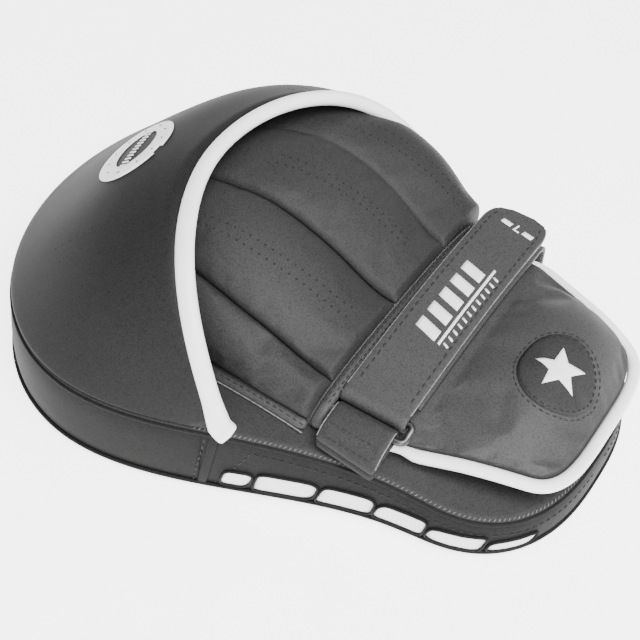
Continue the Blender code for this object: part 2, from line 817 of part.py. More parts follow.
def build_flap():
    """Strap flap folded round its bar, with a rounded pull tip."""
    half = 0.5 * STRAP_WIDTH
    bar = (STRAP_BAR_X, STRAP_BAR_Z)
    outer = BAR_RADIUS + FOLD_CLEAR + STRAP_THICK
    tip_x = STRAP_TAB_X - STRAP_TIP
    path = [Vector((STRAP_BAR_X + tuck, STRAP_BAR_Z - outer)) for tuck in STRAP_TUCK]
    path += fold_arc(bar, outer, 270.0, 90.0, FOLD_STEPS)
    path += strap_line(STRAP_BAR_X + STRAP_START, tip_x, 0.0, FLAP_STEPS)
    spread = [2.0 * i / STRAP_COLUMNS - 1.0 for i in range(STRAP_COLUMNS + 1)]
    upper = []
    lower = []
    count = len(path)
    for k, point in enumerate(path):
        along = (path[min(k + 1, count - 1)] - path[max(k - 1, 0)]).normalized()
        down = Vector((along.y, -along.x))
        under = point + down * STRAP_THICK
        ys = [STRAP_Y + half * share for share in spread]
        upper.append([Vector((point.x, y, point.y)) for y in ys])
        lower.append([Vector((under.x, y, under.y)) for y in ys])
    for j in range(1, STRAP_TIP_STEPS + 1):
        angle = 0.5 * math.pi * j / STRAP_TIP_STEPS
        x = tip_x + STRAP_TIP * math.sin(angle)
        z = strap_top(x)
        narrow = mix(STRAP_TIP_NARROW, 1.0, math.cos(angle) ** STRAP_TIP_POWER)
        ys = [STRAP_Y + half * narrow * share for share in spread]
        upper.append([Vector((x, y, z)) for y in ys])
        lower.append([Vector((x, y, z - STRAP_THICK)) for y in ys])
    sheet_solid("strap_flap", upper, lower, BLACK)


def build_strap():
    """Flap, fastening patches and the fixed strap base below them."""
    build_flap()
    y_from = STRAP_Y - 0.5 * STRAP_WIDTH
    y_to = STRAP_Y + 0.5 * STRAP_WIDTH
    level = STRAP_THICK + GAP
    hook = strap_line(PATCH_X[0], PATCH_X[1], level, HOOK_STEPS)
    ribbon("hook_patch", hook, PATCH_THICK, y_from + PATCH_INSET, y_to - PATCH_INSET, GREY)
    level += PATCH_THICK + GAP
    loop = strap_line(PATCH_X[0] - LOOP_EXTRA, PATCH_X[1], level, LOOP_STEPS)
    ribbon("loop_patch", loop, PATCH_THICK, y_from + PATCH_INSET, y_to - PATCH_INSET, GREY)
    level += PATCH_THICK + GAP
    base_start = STRAP_BAR_X + BASE_START
    base = strap_line(base_start, PATCH_X[1] + BASE_OVERHANG, level, BASE_STEPS)
    knee = base[-1]
    for ahead, drop in BASE_KNEE:
        base.append(Vector((knee.x + ahead, knee.y - drop)))
    foot_z = pad_top(STRAP_Y) + GAP + STRAP_THICK + BASE_FOOT_LIFT
    base.append(Vector((knee.x + BASE_FOOT_X, foot_z)))
    ribbon("strap_base", base, STRAP_THICK, y_from, y_to, BLACK)


def build_keeper():
    """Leather loop sewn at the near seam, folded round the ring bar."""
    y_from = STRAP_Y - 0.5 * KEEPER_WIDTH
    y_to = STRAP_Y + 0.5 * KEEPER_WIDTH
    bar = (KEEPER_BAR_X, KEEPER_BAR_Z)
    inner = BAR_RADIUS + FOLD_CLEAR
    outer = inner + KEEPER_THICK
    outside = list(KEEPER_OUTER_LOW)
    outside += [tuple(p) for p in fold_arc(bar, outer, *KEEPER_ARC)]
    outside += list(KEEPER_OUTER_HIGH)
    inside = list(KEEPER_INNER_LOW)
    inside += [tuple(p) for p in fold_arc(bar, inner, *KEEPER_ARC)]
    inside += list(KEEPER_INNER_HIGH)
    reach = KEEPER_BAR_X - outside[0][0]

    def row(point):
        weight = max(0.0, min(1.0, (KEEPER_BAR_X - point[0]) / reach))
        line = []
        for y in (y_from, STRAP_Y, y_to):
            slope = pad_top(y) - pad_top(STRAP_Y)
            line.append(Vector((point[0], y, point[1] + weight * slope)))
        return line

    upper = [row(point) for point in outside]
    lower = [row(point) for point in inside]
    sheet_solid("keeper_loop", upper, lower, BLACK)


def build_ring():
    """Rectangular wire ring that joins the keeper and the flap."""
    half = 0.5 * RING_LENGTH
    corners = []
    ends = ((KEEPER_BAR_X, KEEPER_BAR_Z), (STRAP_BAR_X, STRAP_BAR_Z))
    for y_side, order in ((-1, (0, 1)), (1, (1, 0))):
        for index in order:
            x, z = ends[index]
            other = ends[1 - index]
            toward = Vector((other[0] - x, 0.0, other[1] - z)).normalized()
            corner = Vector((x, STRAP_Y + y_side * half, z))
            along = corner + toward * RING_CORNER
            across = corner - Vector((0.0, y_side * RING_CORNER, 0.0))
            blend = (along + across + corner) / 3.0
            order_in = (across, blend, along) if index == order[0] else (along, blend, across)
            corners.extend(order_in)
    ring = cord("strap_ring", corners, BAR_RADIUS, STEEL, RING_SIDES, cyclic=True, metallic=1.0)
    move_origin(ring, Vector((KEEPER_BAR_X, STRAP_Y, KEEPER_BAR_Z)))


def move_origin(obj, pivot):
    """Put the object origin on a joint axis without moving its shape."""
    offset = pivot * MM
    if obj.type == "CURVE":
        for spline in obj.data.splines:
            for point in spline.points:
                shifted = Vector(point.co[:3]) - offset
                point.co = (*shifted, 1.0)
    else:
        for vertex in obj.data.vertices:
            vertex.co -= offset
    obj.location = offset


def wrist_sides(y):
    """Near and far edge positions of the wrist piece at a station."""
    t = (CUFF_START_Y - y) / (CUFF_START_Y - CUFF_END_Y)
    return mix(*CUFF_NEAR_X, t), mix(*CUFF_FAR_X, max(t, 0.0))


def wrist_height(s, y):
    """Top surface of the wrist piece, s from -1 (near) to 1 (far)."""
    t = (CUFF_START_Y - y) / (CUFF_START_Y - CUFF_END_Y)
    swell = smooth(t / CUFF_DOME_PEAK)
    edge = mix(mix(*CUFF_NEAR_Z, swell), CUFF_FAR_Z, 0.5 + 0.5 * s)
    dome = mix(*CUFF_DOME, swell)
    fade = max(0.0, (t - CUFF_FALL_START) / (1.0 - CUFF_FALL_START)) ** 2.0
    edge -= fade * mix(*CUFF_EDGE_FALL, 0.5 + 0.5 * s)
    section = (1.0 - abs(s) ** CUFF_DOME_POWER) * (1.0 + CUFF_SKEW * s)
    return edge + (dome - CUFF_FALL * fade) * section


def cuff_point(s, k):
    """Top face of the cuff; s across (-1..1), k from the strap to the wrist end."""
    corner = 1.0 - (1.0 - abs(s) ** CUFF_CORNER_POWER) ** (1.0 / CUFF_CORNER_POWER)
    end = CUFF_END_Y + CUFF_CORNER * corner
    y = mix(CUFF_START_Y, end, k)
    near, far = wrist_sides(y)
    return Vector((mix(near, far, 0.5 + 0.5 * s), y, wrist_height(s, y)))


def cross_shares(count):
    """Shares across the wrist (-1..1), closer together at the edges."""
    return [math.sin(0.5 * math.pi * (2.0 * i / count - 1.0)) for i in range(count + 1)]


def build_bridge():
    """Fixed part of the wrist piece, crossing under the strap."""
    upper = []
    lower = []
    for j in range(BRIDGE_ROWS + 1):
        y = mix(WRIST_TOP_Y, BRIDGE_END_Y, j / BRIDGE_ROWS)
        near, far = wrist_sides(y)
        top_row = []
        low_row = []
        for s in cross_shares(CUFF_COLUMNS):
            point = Vector((mix(near, far, 0.5 + 0.5 * s), y, wrist_height(s, y)))
            top_row.append(point)
            floor = max(point.z - BRIDGE_THICK, pad_top(y) + GAP)
            low_row.append(Vector((point.x, y, floor)))
        upper.append(top_row)
        lower.append(low_row)
    sheet_solid("wrist_bridge", upper, lower, BLACK)
    reach = EDGE_CORD_RADIUS + GAP
    for label, side in (("near", -1), ("far", 1)):
        path = []
        for j in range(BRIDGE_ROWS + 1):
            y = mix(WRIST_TOP_Y, BRIDGE_END_Y, j / BRIDGE_ROWS)
            x = wrist_sides(y)[(side + 1) // 2] + side * reach
            rest = pad_top(y) + EDGE_CORD_RADIUS + 0.1 + GAP
            z = max(wrist_height(side, y) - 0.5 * BRIDGE_THICK, rest)
            path.append(Vector((x, y, z)))
        cord("bridge_piping_%s" % label, path, EDGE_CORD_RADIUS, WHITE, CORD_SIDES)


def cuff_foam_thickness(s, k):
    """Foam thickness, thin at the sides and at the wrist end."""
    late = max(0.0, (k - CUFF_FOAM_FADE) / (1.0 - CUFF_FOAM_FADE))
    fade = (1.0 - abs(s) ** 4.0) * (1.0 - late ** 2.0)
    fade *= smooth(k / CUFF_FOAM_SWELL)
    return mix(CUFF_FOAM[0], CUFF_FOAM[1], fade)


def cuff_layer(name, top_drop, thickness, colour):
    """Layer of the cuff; top_drop and thickness are functions of s and k."""
    upper = []
    lower = []
    for j in range(CUFF_ROWS + 1):
        k = j / CUFF_ROWS
        top_row = []
        low_row = []
        for s in cross_shares(CUFF_COLUMNS):
            point = cuff_point(s, k)
            top = point.z - top_drop(s, k)
            top_row.append(Vector((point.x, point.y, top)))
            low_row.append(Vector((point.x, point.y, top - thickness(s, k))))
        upper.append(top_row)
        lower.append(low_row)
    return sheet_solid(name, upper, lower, colour)


def build_cuff_piping():
    """Cord round the sides and the wrist end of the cuff."""
    path = []
    reach = CUFF_PIPING_RADIUS + GAP
    drop = 0.5 * (CUFF_SHELL + CUFF_FOAM[0] + CUFF_LINING)
    sides = [j / CUFF_SIDE_STEPS for j in range(CUFF_SIDE_STEPS)]
    outline = [cuff_point(-1.0, k) for k in sides]
    outline += [cuff_point(s, 1.0) for s in cross_shares(CUFF_END_STEPS)]
    outline += [cuff_point(1.0, k) for k in reversed(sides)]
    outline[0].y -= CUFF_PIPING_BACK
    outline[-1].y -= CUFF_PIPING_BACK
    count = len(outline)
    for k, point in enumerate(outline):
        along = outline[min(k + 1, count - 1)] - outline[max(k - 1, 0)]
        outward = Vector((along.y, -along.x, 0.0)).normalized()
        path.append(point + outward * reach - Vector((0.0, 0.0, drop)))
    return cord("cuff_piping", path, CUFF_PIPING_RADIUS, WHITE, CORD_SIDES)


def build_cuff():
    """Shell, foam, lining, piping and patch that turn together."""
    pieces = []
    foam_drop = CUFF_SHELL + GAP
    pieces.append(cuff_layer("cuff_shell", lambda s, k: 0.0, lambda s, k: CUFF_SHELL, BLACK))
    pieces.append(cuff_layer("cuff_foam", lambda s, k: foam_drop, cuff_foam_thickness, FOAM))
    pieces.append(cuff_layer(
        "cuff_lining",
        lambda s, k: foam_drop + cuff_foam_thickness(s, k) + GAP,
        lambda s, k: CUFF_LINING, GREY,
    ))
    pieces.append(build_cuff_piping())
    pieces.append(build_patch(
        "cuff_patch", CUFF_PATCH_RADIUS, CUFF_PATCH_LIFT, CUFF_PATCH_THICK, CHARCOAL, 0,
    ))
    emblem_lift = CUFF_PATCH_LIFT + CUFF_PATCH_THICK + GAP
    pieces.append(build_patch(
        "cuff_emblem", EMBLEM_RADIUS, emblem_lift, EMBLEM_THICK, WHITE, EMBLEM_POINTS,
    ))
    crown = wrist_height(CUFF_CROWN_S, CUFF_START_Y) + 1.0
    pivot = Vector((CUFF_PATCH_X, CUFF_START_Y + GAP, crown))
    for piece in pieces:
        move_origin(piece, pivot)


def cuff_surface(x, y):
    """Height of the wrist piece over a plan point."""
    near, far = wrist_sides(y)
    s = max(-1.0, min(1.0, 2.0 * (x - near) / (far - near) - 1.0))
    return wrist_height(s, y)


def build_patch(name, radius, lift, thickness, colour, tips):
    """Disc or star lying on the cuff; tips is the number of star points."""
    count = RING_STEPS
    builder = bmesh.new()
    levels = []
    for level in (lift + thickness, lift):
        rings = []
        for fraction in DISC_RINGS:
            verts = []
            for k in range(count):
                angle = 2.0 * math.pi * k / count
                r = radius * fraction
                if tips:
                    phase = (k * tips / count) % 1.0
                    r *= mix(EMBLEM_WAIST, 1.0, abs(2.0 * phase - 1.0))
                x = CUFF_PATCH_X + r * math.cos(angle)
                y = CUFF_PATCH_Y + r * math.sin(angle)
                verts.append(builder.verts.new((x, y, cuff_surface(x, y) + level)))
            rings.append(verts)
        levels.append(rings)
    add_grid(builder, levels[0], True, True)
    add_grid(builder, levels[1], False, True)
    add_grid(builder, [levels[0][-1], levels[1][-1]], True, True)
    base = cuff_surface(CUFF_PATCH_X, CUFF_PATCH_Y)
    for rings, level, flip in ((levels[0], lift + thickness, False), (levels[1], lift, True)):
        hub = builder.verts.new((CUFF_PATCH_X, CUFF_PATCH_Y, base + level))
        for k in range(count):
            tri = [hub, rings[0][k], rings[0][(k + 1) % count]]
            if flip:
                tri.reverse()
            builder.faces.new(tri)
    return new_object(name, builder, colour)


def build_grip():
    """Padded grip bar across the palm, inside the hand space."""
    upper = []
    lower = []
    columns, rows = GRIP_COUNTS
    for j in range(rows + 1):
        angle = math.pi * j / rows
        y = mix(*GRIP_Y, 0.5 - 0.5 * math.cos(angle))
        z = GRIP_HEIGHT * math.sin(angle)
        base = pad_top(y) + GAP
        up_row = []
        low_row = []
        for i in range(columns + 1):
            t = i / columns
            x = mix(*GRIP_X, t)
            lift = z * (1.0 - abs(2.0 * t - 1.0) ** 4.0) + GRIP_EDGE
            up_row.append(Vector((x, y, base + lift)))
            low_row.append(Vector((x, y, base)))
        upper.append(up_row)
        lower.append(low_row)
    sheet_solid("palm_grip", upper, lower, CHARCOAL)


def build_thumb_loop():
    """Leather band that holds the thumb, sewn to the palm cover."""
    floor = pad_top(THUMB_LOOP_Y[1]) + GAP
    path = []
    for k in range(THUMB_LOOP_STEPS + 1):
        angle = math.pi * k / THUMB_LOOP_STEPS
        x = mix(*THUMB_LOOP_X, 0.5 - 0.5 * math.cos(angle))
        rise = THUMB_LOOP_HEIGHT * math.sin(angle) ** THUMB_LOOP_ROUND
        path.append(Vector((x, floor + THUMB_LOOP_THICK + rise)))
    ribbon("thumb_loop", path, THUMB_LOOP_THICK, *THUMB_LOOP_Y, CHARCOAL)


def main():
    """Clear the scene and build every piece."""
    for obj in list(bpy.data.objects):
        bpy.data.objects.remove(obj, do_unlink=True)
    build_pad()
    build_gussets()
    build_hood()
    build_panel()
    build_grip()
    build_thumb_loop()
    build_bridge()
    build_strap()
    build_keeper()
    build_ring()
    build_cuff()


main()
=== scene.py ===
"""Looks of a left-hand focus mitt: grained leather, stuffed panels, piping and stitching."""
import json
import logging
import math
import random
from dataclasses import dataclass, field
from enum import Enum
from typing import Callable, Sequence

import bmesh
import bpy
from mathutils import Matrix, Vector
from mathutils.bvhtree import BVHTree

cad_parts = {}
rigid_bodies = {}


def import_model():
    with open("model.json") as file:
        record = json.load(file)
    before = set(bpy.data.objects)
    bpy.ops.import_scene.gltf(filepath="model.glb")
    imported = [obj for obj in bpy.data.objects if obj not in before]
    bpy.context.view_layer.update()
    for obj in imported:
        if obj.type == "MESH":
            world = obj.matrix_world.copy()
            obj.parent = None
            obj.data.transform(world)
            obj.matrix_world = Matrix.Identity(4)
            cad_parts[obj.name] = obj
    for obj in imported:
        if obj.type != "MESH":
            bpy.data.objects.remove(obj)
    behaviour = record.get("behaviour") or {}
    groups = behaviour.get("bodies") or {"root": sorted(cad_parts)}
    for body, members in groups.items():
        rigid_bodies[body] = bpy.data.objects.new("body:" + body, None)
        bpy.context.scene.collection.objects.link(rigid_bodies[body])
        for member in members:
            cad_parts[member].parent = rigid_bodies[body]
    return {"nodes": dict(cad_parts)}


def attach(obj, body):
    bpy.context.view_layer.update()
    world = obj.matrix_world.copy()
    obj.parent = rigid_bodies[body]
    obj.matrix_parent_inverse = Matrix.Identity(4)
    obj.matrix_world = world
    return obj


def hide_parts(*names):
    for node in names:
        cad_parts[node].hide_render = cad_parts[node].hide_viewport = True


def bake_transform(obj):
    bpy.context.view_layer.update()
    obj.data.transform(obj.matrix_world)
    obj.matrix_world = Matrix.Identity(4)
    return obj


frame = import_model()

LOG = logging.getLogger("focus_mitt")
MM = 0.001
UP = Vector((0.0, 0.0, 1.0))
DOWN = -UP

Place = Callable[[float, float], Vector]
Colour = tuple[float, float, float]
Route = list[tuple[Vector, Vector]]


class Side(Enum):
    """Sides of the mitt: NEAR is the little finger's, FAR is the thumb's."""

    NEAR = -1
    FAR = 1


class Effect(Enum):
    """Shared surface effects, each a shader node group."""

    GRAIN = "leather_grain"
    WEAVE = "cloth_weave"
    HANDLING = "handling_marks"


def smooth(t: float) -> float:
    """Ease a fraction so that it starts and stops level."""
    t = max(0.0, min(1.0, t))
    return t * t * (3.0 - 2.0 * t)


def mix(a: float, b: float, t: float) -> float:
    """Blend two numbers."""
    return a + (b - a) * t


def soft_min(a: float, b: float, width: float) -> float:
    """Smaller of two heights with a rounded changeover."""
    h = max(width - abs(a - b), 0.0) / width
    return min(a, b) - h * h * width * 0.25


# ---------------------------------------------------------------- shapes of the mitt


@dataclass
class PadShape:
    """Plan and thickness of the strike pad, in millimetres."""

    tip_y: float = 135.0
    wrist_y: float = -135.0
    crown_y: float = 48.0
    crown_half: float = 107.0
    wrist_half: float = 65.0
    taper_end_y: float = -95.0
    corner_start_y: float = -80.0
    corner_power: float = 2.6
    thick: float = 34.0
    thick_wrist: float = 20.0
    flare: float = 2.4
    skin: float = 3.0
    seam_y: float = -5.0
    samples: int = 1440
    points: list[Vector] = field(default_factory=list)
    lengths: list[float] = field(default_factory=list)

    def __post_init__(self) -> None:
        """Measure the outline once, from the fingertips to the wrist."""
        middle = 0.5 * (self.tip_y + self.wrist_y)
        half = 0.5 * (self.tip_y - self.wrist_y)
        for k in range(self.samples + 1):
            y = middle + half * math.cos(math.pi * k / self.samples)
            self.points.append(Vector((self.half_width(y), y)))
        self.lengths.append(0.0)
        for a, b in zip(self.points, self.points[1:]):
            self.lengths.append(self.lengths[-1] + (b - a).length)

    def half_width(self, y: float) -> float:
        """Half width of the outline at a station.

        Args:
            y: Station along the mitt.

        Returns:
            Half the width of the pad there.
        """
        if y >= self.crown_y:
            s = min(1.0, (y - self.crown_y) / (self.tip_y - self.crown_y))
            return self.crown_half * math.sqrt(1.0 - s * s)
        taper = smooth((y - self.taper_end_y) / (self.crown_y - self.taper_end_y))
        width = mix(self.wrist_half, self.crown_half, taper)
        if y < self.corner_start_y:
            s = min(1.0, (self.corner_start_y - y) / (self.corner_start_y - self.wrist_y))
            width *= (1.0 - s ** self.corner_power) ** (1.0 / self.corner_power)
        return width

    def top(self, y: float) -> float:
        """Height of the hand side of the pad at a station."""
        return mix(self.thick_wrist, self.thick, smooth((y - self.wrist_y) / -self.wrist_y))

    def rim(self, s: float, inset: float = 0.0) -> Vector:
        """Point of the outline.

        Args:
            s: Place round the outline, 0 at the fingertips and 1 or -1 at the wrist.
            inset: Distance inside the outline.

        Returns:
            The point in plan.
        """
        target = min(abs(s), 1.0) * self.lengths[-1]
        low, high = 0, self.samples
        while high - low > 1:
            mid = (low + high) // 2
            low, high = (mid, high) if self.lengths[mid] <= target else (low, mid)
        t = (target - self.lengths[low]) / (self.lengths[high] - self.lengths[low])
        point = self.points[low].lerp(self.points[high], t)
        reach = 6
        before = self.points[abs(low - reach)].copy()
        after = self.points[min(high + reach, 2 * self.samples - high - reach)].copy()
        if low < reach:
            before.x = -before.x
        if high + reach > self.samples:
            after.x = -after.x
        along = (after - before).normalized()
        point = point - inset * Vector((-along.y, along.x))
        return Vector((math.copysign(1.0, s) * point.x, point.y))

    def param(self, y: float) -> float:
        """Place on the outline, 0 to 1, that crosses a station.

        Args:
            y: Station to cross.

        Returns:
            Fraction of the outline, 0 at the fingertips.
        """
        for point, length in zip(self.points, self.lengths):
            if point.y <= y:
                return length / self.lengths[-1]
        return 1.0

    def wall(self, s: float, z: float, out: float) -> Vector:
        """Point on the leaning side wall, a distance out of it.

        Args:
            s: Place round the outline, beyond 1 on the other side.
            z: Height above the foot of the pad.
            out: Distance out of the wall.

        Returns:
            The point in millimetres.
        """
        s = s - 2.0 if s > 1.0 else s
        s = s + 2.0 if s < -1.0 else s
        lean = self.flare * (1.0 - z / self.top(self.rim(s).y))
        p = self.rim(s, -lean - out)
        return Vector((p.x, p.y, z))

    def wall_normal(self, s: float) -> Vector:
        """Outward direction of the side wall in plan."""
        p = self.rim(s, -1.0) - self.rim(s)
        return Vector((p.x, p.y, 0.0)).normalized()


PAD = PadShape()


@dataclass
class HoodShape:
    """Finger hood over the far end of the pad, in millimetres."""

    start_y: float = -15.5
    bulge: float = 60.0
    rise: float = 80.5
    long_power: float = 1.55
    cross_power: float = 2.14
    cross_root: float = 0.87
    binding: float = 8.0
    thick: float = 4.0

    def height(self, x: float, y: float) -> float:
        """Outer surface height over a point in plan.

        Args:
            x: Place across the mitt.
            y: Station along the mitt.

        Returns:
            The height in millimetres.
        """
        s = max(0.0, min(1.0, (y - self.start_y) / (PAD.tip_y - self.start_y)))
        rise = self.rise * (1.0 - s ** self.long_power)
        r = min(1.0, abs(x) / max(PAD.half_width(y), 1.0))
        return PAD.top(y) + 0.3 + rise * (1.0 - r ** self.cross_power) ** self.cross_root

    def edge(self, s: float, advance: float) -> Vector:
        """Point on the hood's opening edge, s from -1 (near) to 1 (far).

        Args:
            s: Place across, -1 at the near side to 1 at the far side.
            advance: Distance towards the fingertips from the plain opening.

        Returns:
            The point in millimetres.
        """
        y = self.start_y + advance + self.bulge * (1.0 - s * s)
        x = s * PAD.half_width(y)
        return Vector((x, y, self.height(x, y)))

    def point(self, s: float, v: float) -> Vector:
        """Point of the skin, from the binding (v = 0) to the rim (v = 1).

        Args:
            s: Place across, -1 at the near side to 1 at the far side.
            v: 0 at the binding, 1 at the rim.

        Returns:
            The point in millimetres.
        """
        start = self.edge(s, self.binding - 1.5)
        end = PAD.rim(s * PAD.param(self.start_y + self.binding + 5.0))
        x = mix(start.x, end.x, v)
        y = mix(start.y, end.y, v)
        return Vector((x, y, self.height(x, y)))


HOOD = HoodShape()


@dataclass
class PanelShape:
    """Arched hand panel with four padded channels, in millimetres."""

    wrist_y: float = -37.0
    finger_y: float = 62.0
    near_x: float = -62.5
    near_x_finger: float = -54.0
    far_x_wrist: float = 66.0
    far_x: float = 75.0
    far_x_finger: float = 60.0
    rise_wrist: float = 12.0
    rise: float = 39.0
    rise_y: float = 32.0
    power: float = 2.6
    under_hood: float = 20.0
    shoulder: float = 3.0
    lining: float = 3.0
    seams_wrist: tuple[float, ...] = (0.0, 0.350, 0.512, 0.775, 1.0)
    seams_finger: tuple[float, ...] = (0.0, 0.40, 0.565, 0.785, 1.0)
    foot_margin: float = 0.035

    def base(self, u: float, v: float) -> Vector:
        """Inner surface, u from the far foot to the near one, v from the wrist.

        Args:
            u: Fraction across, from the far foot.
            v: Fraction along, from the wrist edge.

        Returns:
            The point in millimetres.
        """
        y = mix(self.wrist_y, self.finger_y, v)
        bend = smooth((y - 5.0) / (self.finger_y - 5.0))
        near = mix(self.near_x, self.near_x_finger, bend)
        widen = smooth((y - self.wrist_y) / -self.wrist_y)
        far = mix(mix(self.far_x_wrist, self.far_x, widen), self.far_x_finger, bend)
        rise = mix(self.rise_wrist, self.rise,
                   smooth((y - self.wrist_y) / (self.rise_y - self.wrist_y)))
        angle = math.pi * u
        power = 2.0 / self.power
        across = math.copysign(abs(math.cos(angle)) ** power, math.cos(angle))
        high = abs(math.sin(angle)) ** power
        x = mix(near, far, 0.5 + 0.5 * across)
        lift = rise * high + self.shoulder * across * high
        limit = HOOD.height(x, y) - PAD.top(y) - 0.3 - self.under_hood
        return Vector((x, y, PAD.top(y) + 0.3 + max(soft_min(lift, limit, 5.0), 0.0)))

    def normal(self, u: float, v: float) -> Vector:
        """Outward direction of the panel.

        Args:
            u: Fraction across, from the far foot.
            v: Fraction along, from the wrist edge.

        Returns:
            The direction, of length 1.
        """
        step = 0.01
        ul, uh = max(u - step, 0.0), min(u + step, 1.0)
        vl, vh = max(v - step, 0.0), min(v + step, 1.0)
        across = self.base(uh, v) - self.base(ul, v)
        along = self.base(u, vh) - self.base(u, vl)
        return along.cross(across).normalized()

    def offset(self, u: float, v: float, distance: float) -> Vector:
        """Point a distance outside the inner surface.

        Args:
            u: Fraction across, from the far foot.
            v: Fraction along, from the wrist edge.
            distance: Distance out of the inner surface.

        Returns:
            The point in millimetres, never below the pad.
        """
        point = self.base(u, v) + self.normal(u, v) * distance
        point.z = max(point.z, PAD.top(point.y) + 0.3)
        return point

    def seam(self, index: int, v: float) -> float:
        """Place across the panel of a seam between channels."""
        return mix(self.seams_wrist[index], self.seams_finger[index], v)


PANEL = PanelShape()


@dataclass
class WristShape:
    """Wrist piece: a bridge under the strap that runs on as the cuff."""

    hinge_y: float = -73.3
    end_y: float = -131.0
    near_x: tuple[float, float] = (-52.5, -35.0)
    far_x: tuple[float, float] = (61.5, 40.5)
    corner: float = 15.0
    corner_power: float = 4.0
    near_z: tuple[float, float] = (33.1, 35.0)
    far_z: float = 40.0
    dome: tuple[float, float] = (6.0, 11.5)
    dome_peak: float = 0.45
    dome_power: float = 2.6
    skew: float = 0.34
    fall: float = 11.0
    bridge_thick: float = 4.2
    foam: tuple[float, float] = (2.0, 5.0)

    def sides(self, y: float) -> tuple[float, float]:
        """Near and far edge positions at a station."""
        t = (self.hinge_y - y) / (self.hinge_y - self.end_y)
        return mix(*self.near_x, t), mix(*self.far_x, max(t, 0.0))

    def height(self, s: float, y: float) -> float:
        """Top surface, s from -1 (near) to 1 (far).

        Args:
            s: Place across, -1 at the near side to 1 at the far side.
            y: Station along the mitt.

        Returns:
            The height in millimetres.
        """
        t = (self.hinge_y - y) / (self.hinge_y - self.end_y)
        swell = smooth(t / self.dome_peak)
        edge = mix(mix(*self.near_z, swell), self.far_z, 0.5 + 0.5 * s)
        fade = max(0.0, (t - 0.5) / 0.5) ** 2.0
        edge -= fade * mix(2.0, 8.0, 0.5 + 0.5 * s)
        section = (1.0 - abs(s) ** self.dome_power) * (1.0 + self.skew * s)
        return edge + (mix(*self.dome, swell) - self.fall * fade) * section

    def point(self, s: float, k: float) -> Vector:
        """Top face, k from -0.55 at the panel through 0 at the hinge to 1 at the end.

        Args:
            s: Place across, -1 at the near side to 1 at the far side.
            k: -0.55 at the panel, 0 at the hinge, 1 at the end.

        Returns:
            The point in millimetres.
        """
        corner = 1.0 - (1.0 - abs(s) ** self.corner_power) ** (1.0 / self.corner_power)
        end = self.end_y + self.corner * corner
        y = mix(self.hinge_y, end if k > 0.0 else self.end_y, k)
        near, far = self.sides(y)
        return Vector((mix(near, far, 0.5 + 0.5 * s), y, self.height(s, y)))

    def thickness(self, s: float, k: float) -> float:
        """Thickness of the piece, swelling into the cuff's foam.

        Args:
            s: Place across, -1 at the near side to 1 at the far side.
            k: Place along the wrist piece.

        Returns:
            The thickness in millimetres.
        """
        fade = (1.0 - abs(s) ** 4.0) * (1.0 - max(0.0, (k - 0.7) / 0.3) ** 2.0)
        swell = smooth(k / 0.3)
        full = 4.6 + mix(*self.foam, fade * swell)
        return mix(self.bridge_thick, full, smooth((k + 0.05) / 0.15))

    def surface(self, x: float, y: float) -> float:
        """Top surface height over a point in plan."""
        near, far = self.sides(y)
        return self.height(max(-1.0, min(1.0, 2.0 * (x - near) / (far - near) - 1.0)), y)


WRIST = WristShape()


@dataclass
class StrapShape:
    """Closing strap that runs across the wrist, in millimetres."""

    y: float = -57.3
    width: float = 29.0
    thick: float = 2.2
    bar_x: float = -50.5
    bar_z: float = 41.5
    tab_x: float = 72.0
    tab_z: float = 55.0
    bow: float = 3.5
    bar_radius: float = 1.5
    clear: float = 0.35
    keeper_x: float = -58.5
    keeper_z: float = 38.9
    keeper_width: float = 27.0
    keeper_thick: float = 2.0
    ring_length: float = 34.0

    def top(self, x: float) -> float:
        """Upper face height of the closed flap.

        Args:
            x: Place across the mitt.

        Returns:
            The height in millimetres.
        """
        t = (x - self.bar_x) / (self.tab_x - self.bar_x)
        start = self.bar_z + self.bar_radius + self.clear + self.thick
        return mix(start, self.tab_z, t) + self.bow * math.sin(math.pi * max(t, 0.0))


STRAP = StrapShape()


# ---------------------------------------------------------------- materials


def group_tree(effect: Effect, inputs: Sequence[tuple[str, str]],
               outputs: Sequence[tuple[str, str]]) -> tuple[bpy.types.NodeTree, bool]:
    """Find or start a shader node group.

    Args:
        effect: Which shared effect it holds.
        inputs: Names and kinds of its inputs.
        outputs: Names and kinds of its outputs.

    Returns:
        The node group, and whether it is new.
    """
    found = bpy.data.node_groups.get(effect.value)
    if found:
        return found, False
    tree = bpy.data.node_groups.new(effect.value, "ShaderNodeTree")
    for name, kind in inputs:
        tree.interface.new_socket(name, in_out="INPUT", socket_type="NodeSocket" + kind)
    for name, kind in outputs:
        tree.interface.new_socket(name, in_out="OUTPUT", socket_type="NodeSocket" + kind)
    return tree, True


def calc(tree: bpy.types.NodeTree, operation: str, a: object, b: object) -> bpy.types.NodeSocket:
    """Add a maths node whose inputs are sockets or numbers.

    Args:
        tree: Node tree to add it to.
        operation: Name of the operation.
        a: First socket or number.
        b: Second socket or number.

    Returns:
        Its result.
    """
    node = tree.nodes.new("ShaderNodeMath")
    node.operation = operation
    for slot, value in zip(node.inputs, (a, b)):
        if isinstance(value, bpy.types.NodeSocket):
            tree.links.new(value, slot)
        else:
            slot.default_value = value
    return node.outputs[0]


def noise(tree: bpy.types.NodeTree, vector: bpy.types.NodeSocket, scale: object,
          detail: float = 2.0) -> bpy.types.NodeSocket:
    """Add a noise texture and return its value socket.

    Args:
        tree: Node tree to add it to.
        vector: Where the pattern lies.
        scale: Socket or number for its scale.
        detail: Number of finer layers.

    Returns:
        Its value.
    """
    node = tree.nodes.new("ShaderNodeTexNoise")
    node.inputs["Detail"].default_value = detail
    tree.links.new(vector, node.inputs["Vector"])
    if isinstance(scale, bpy.types.NodeSocket):
        tree.links.new(scale, node.inputs["Scale"])
    else:
        node.inputs["Scale"].default_value = scale
    return node.outputs["Fac"]


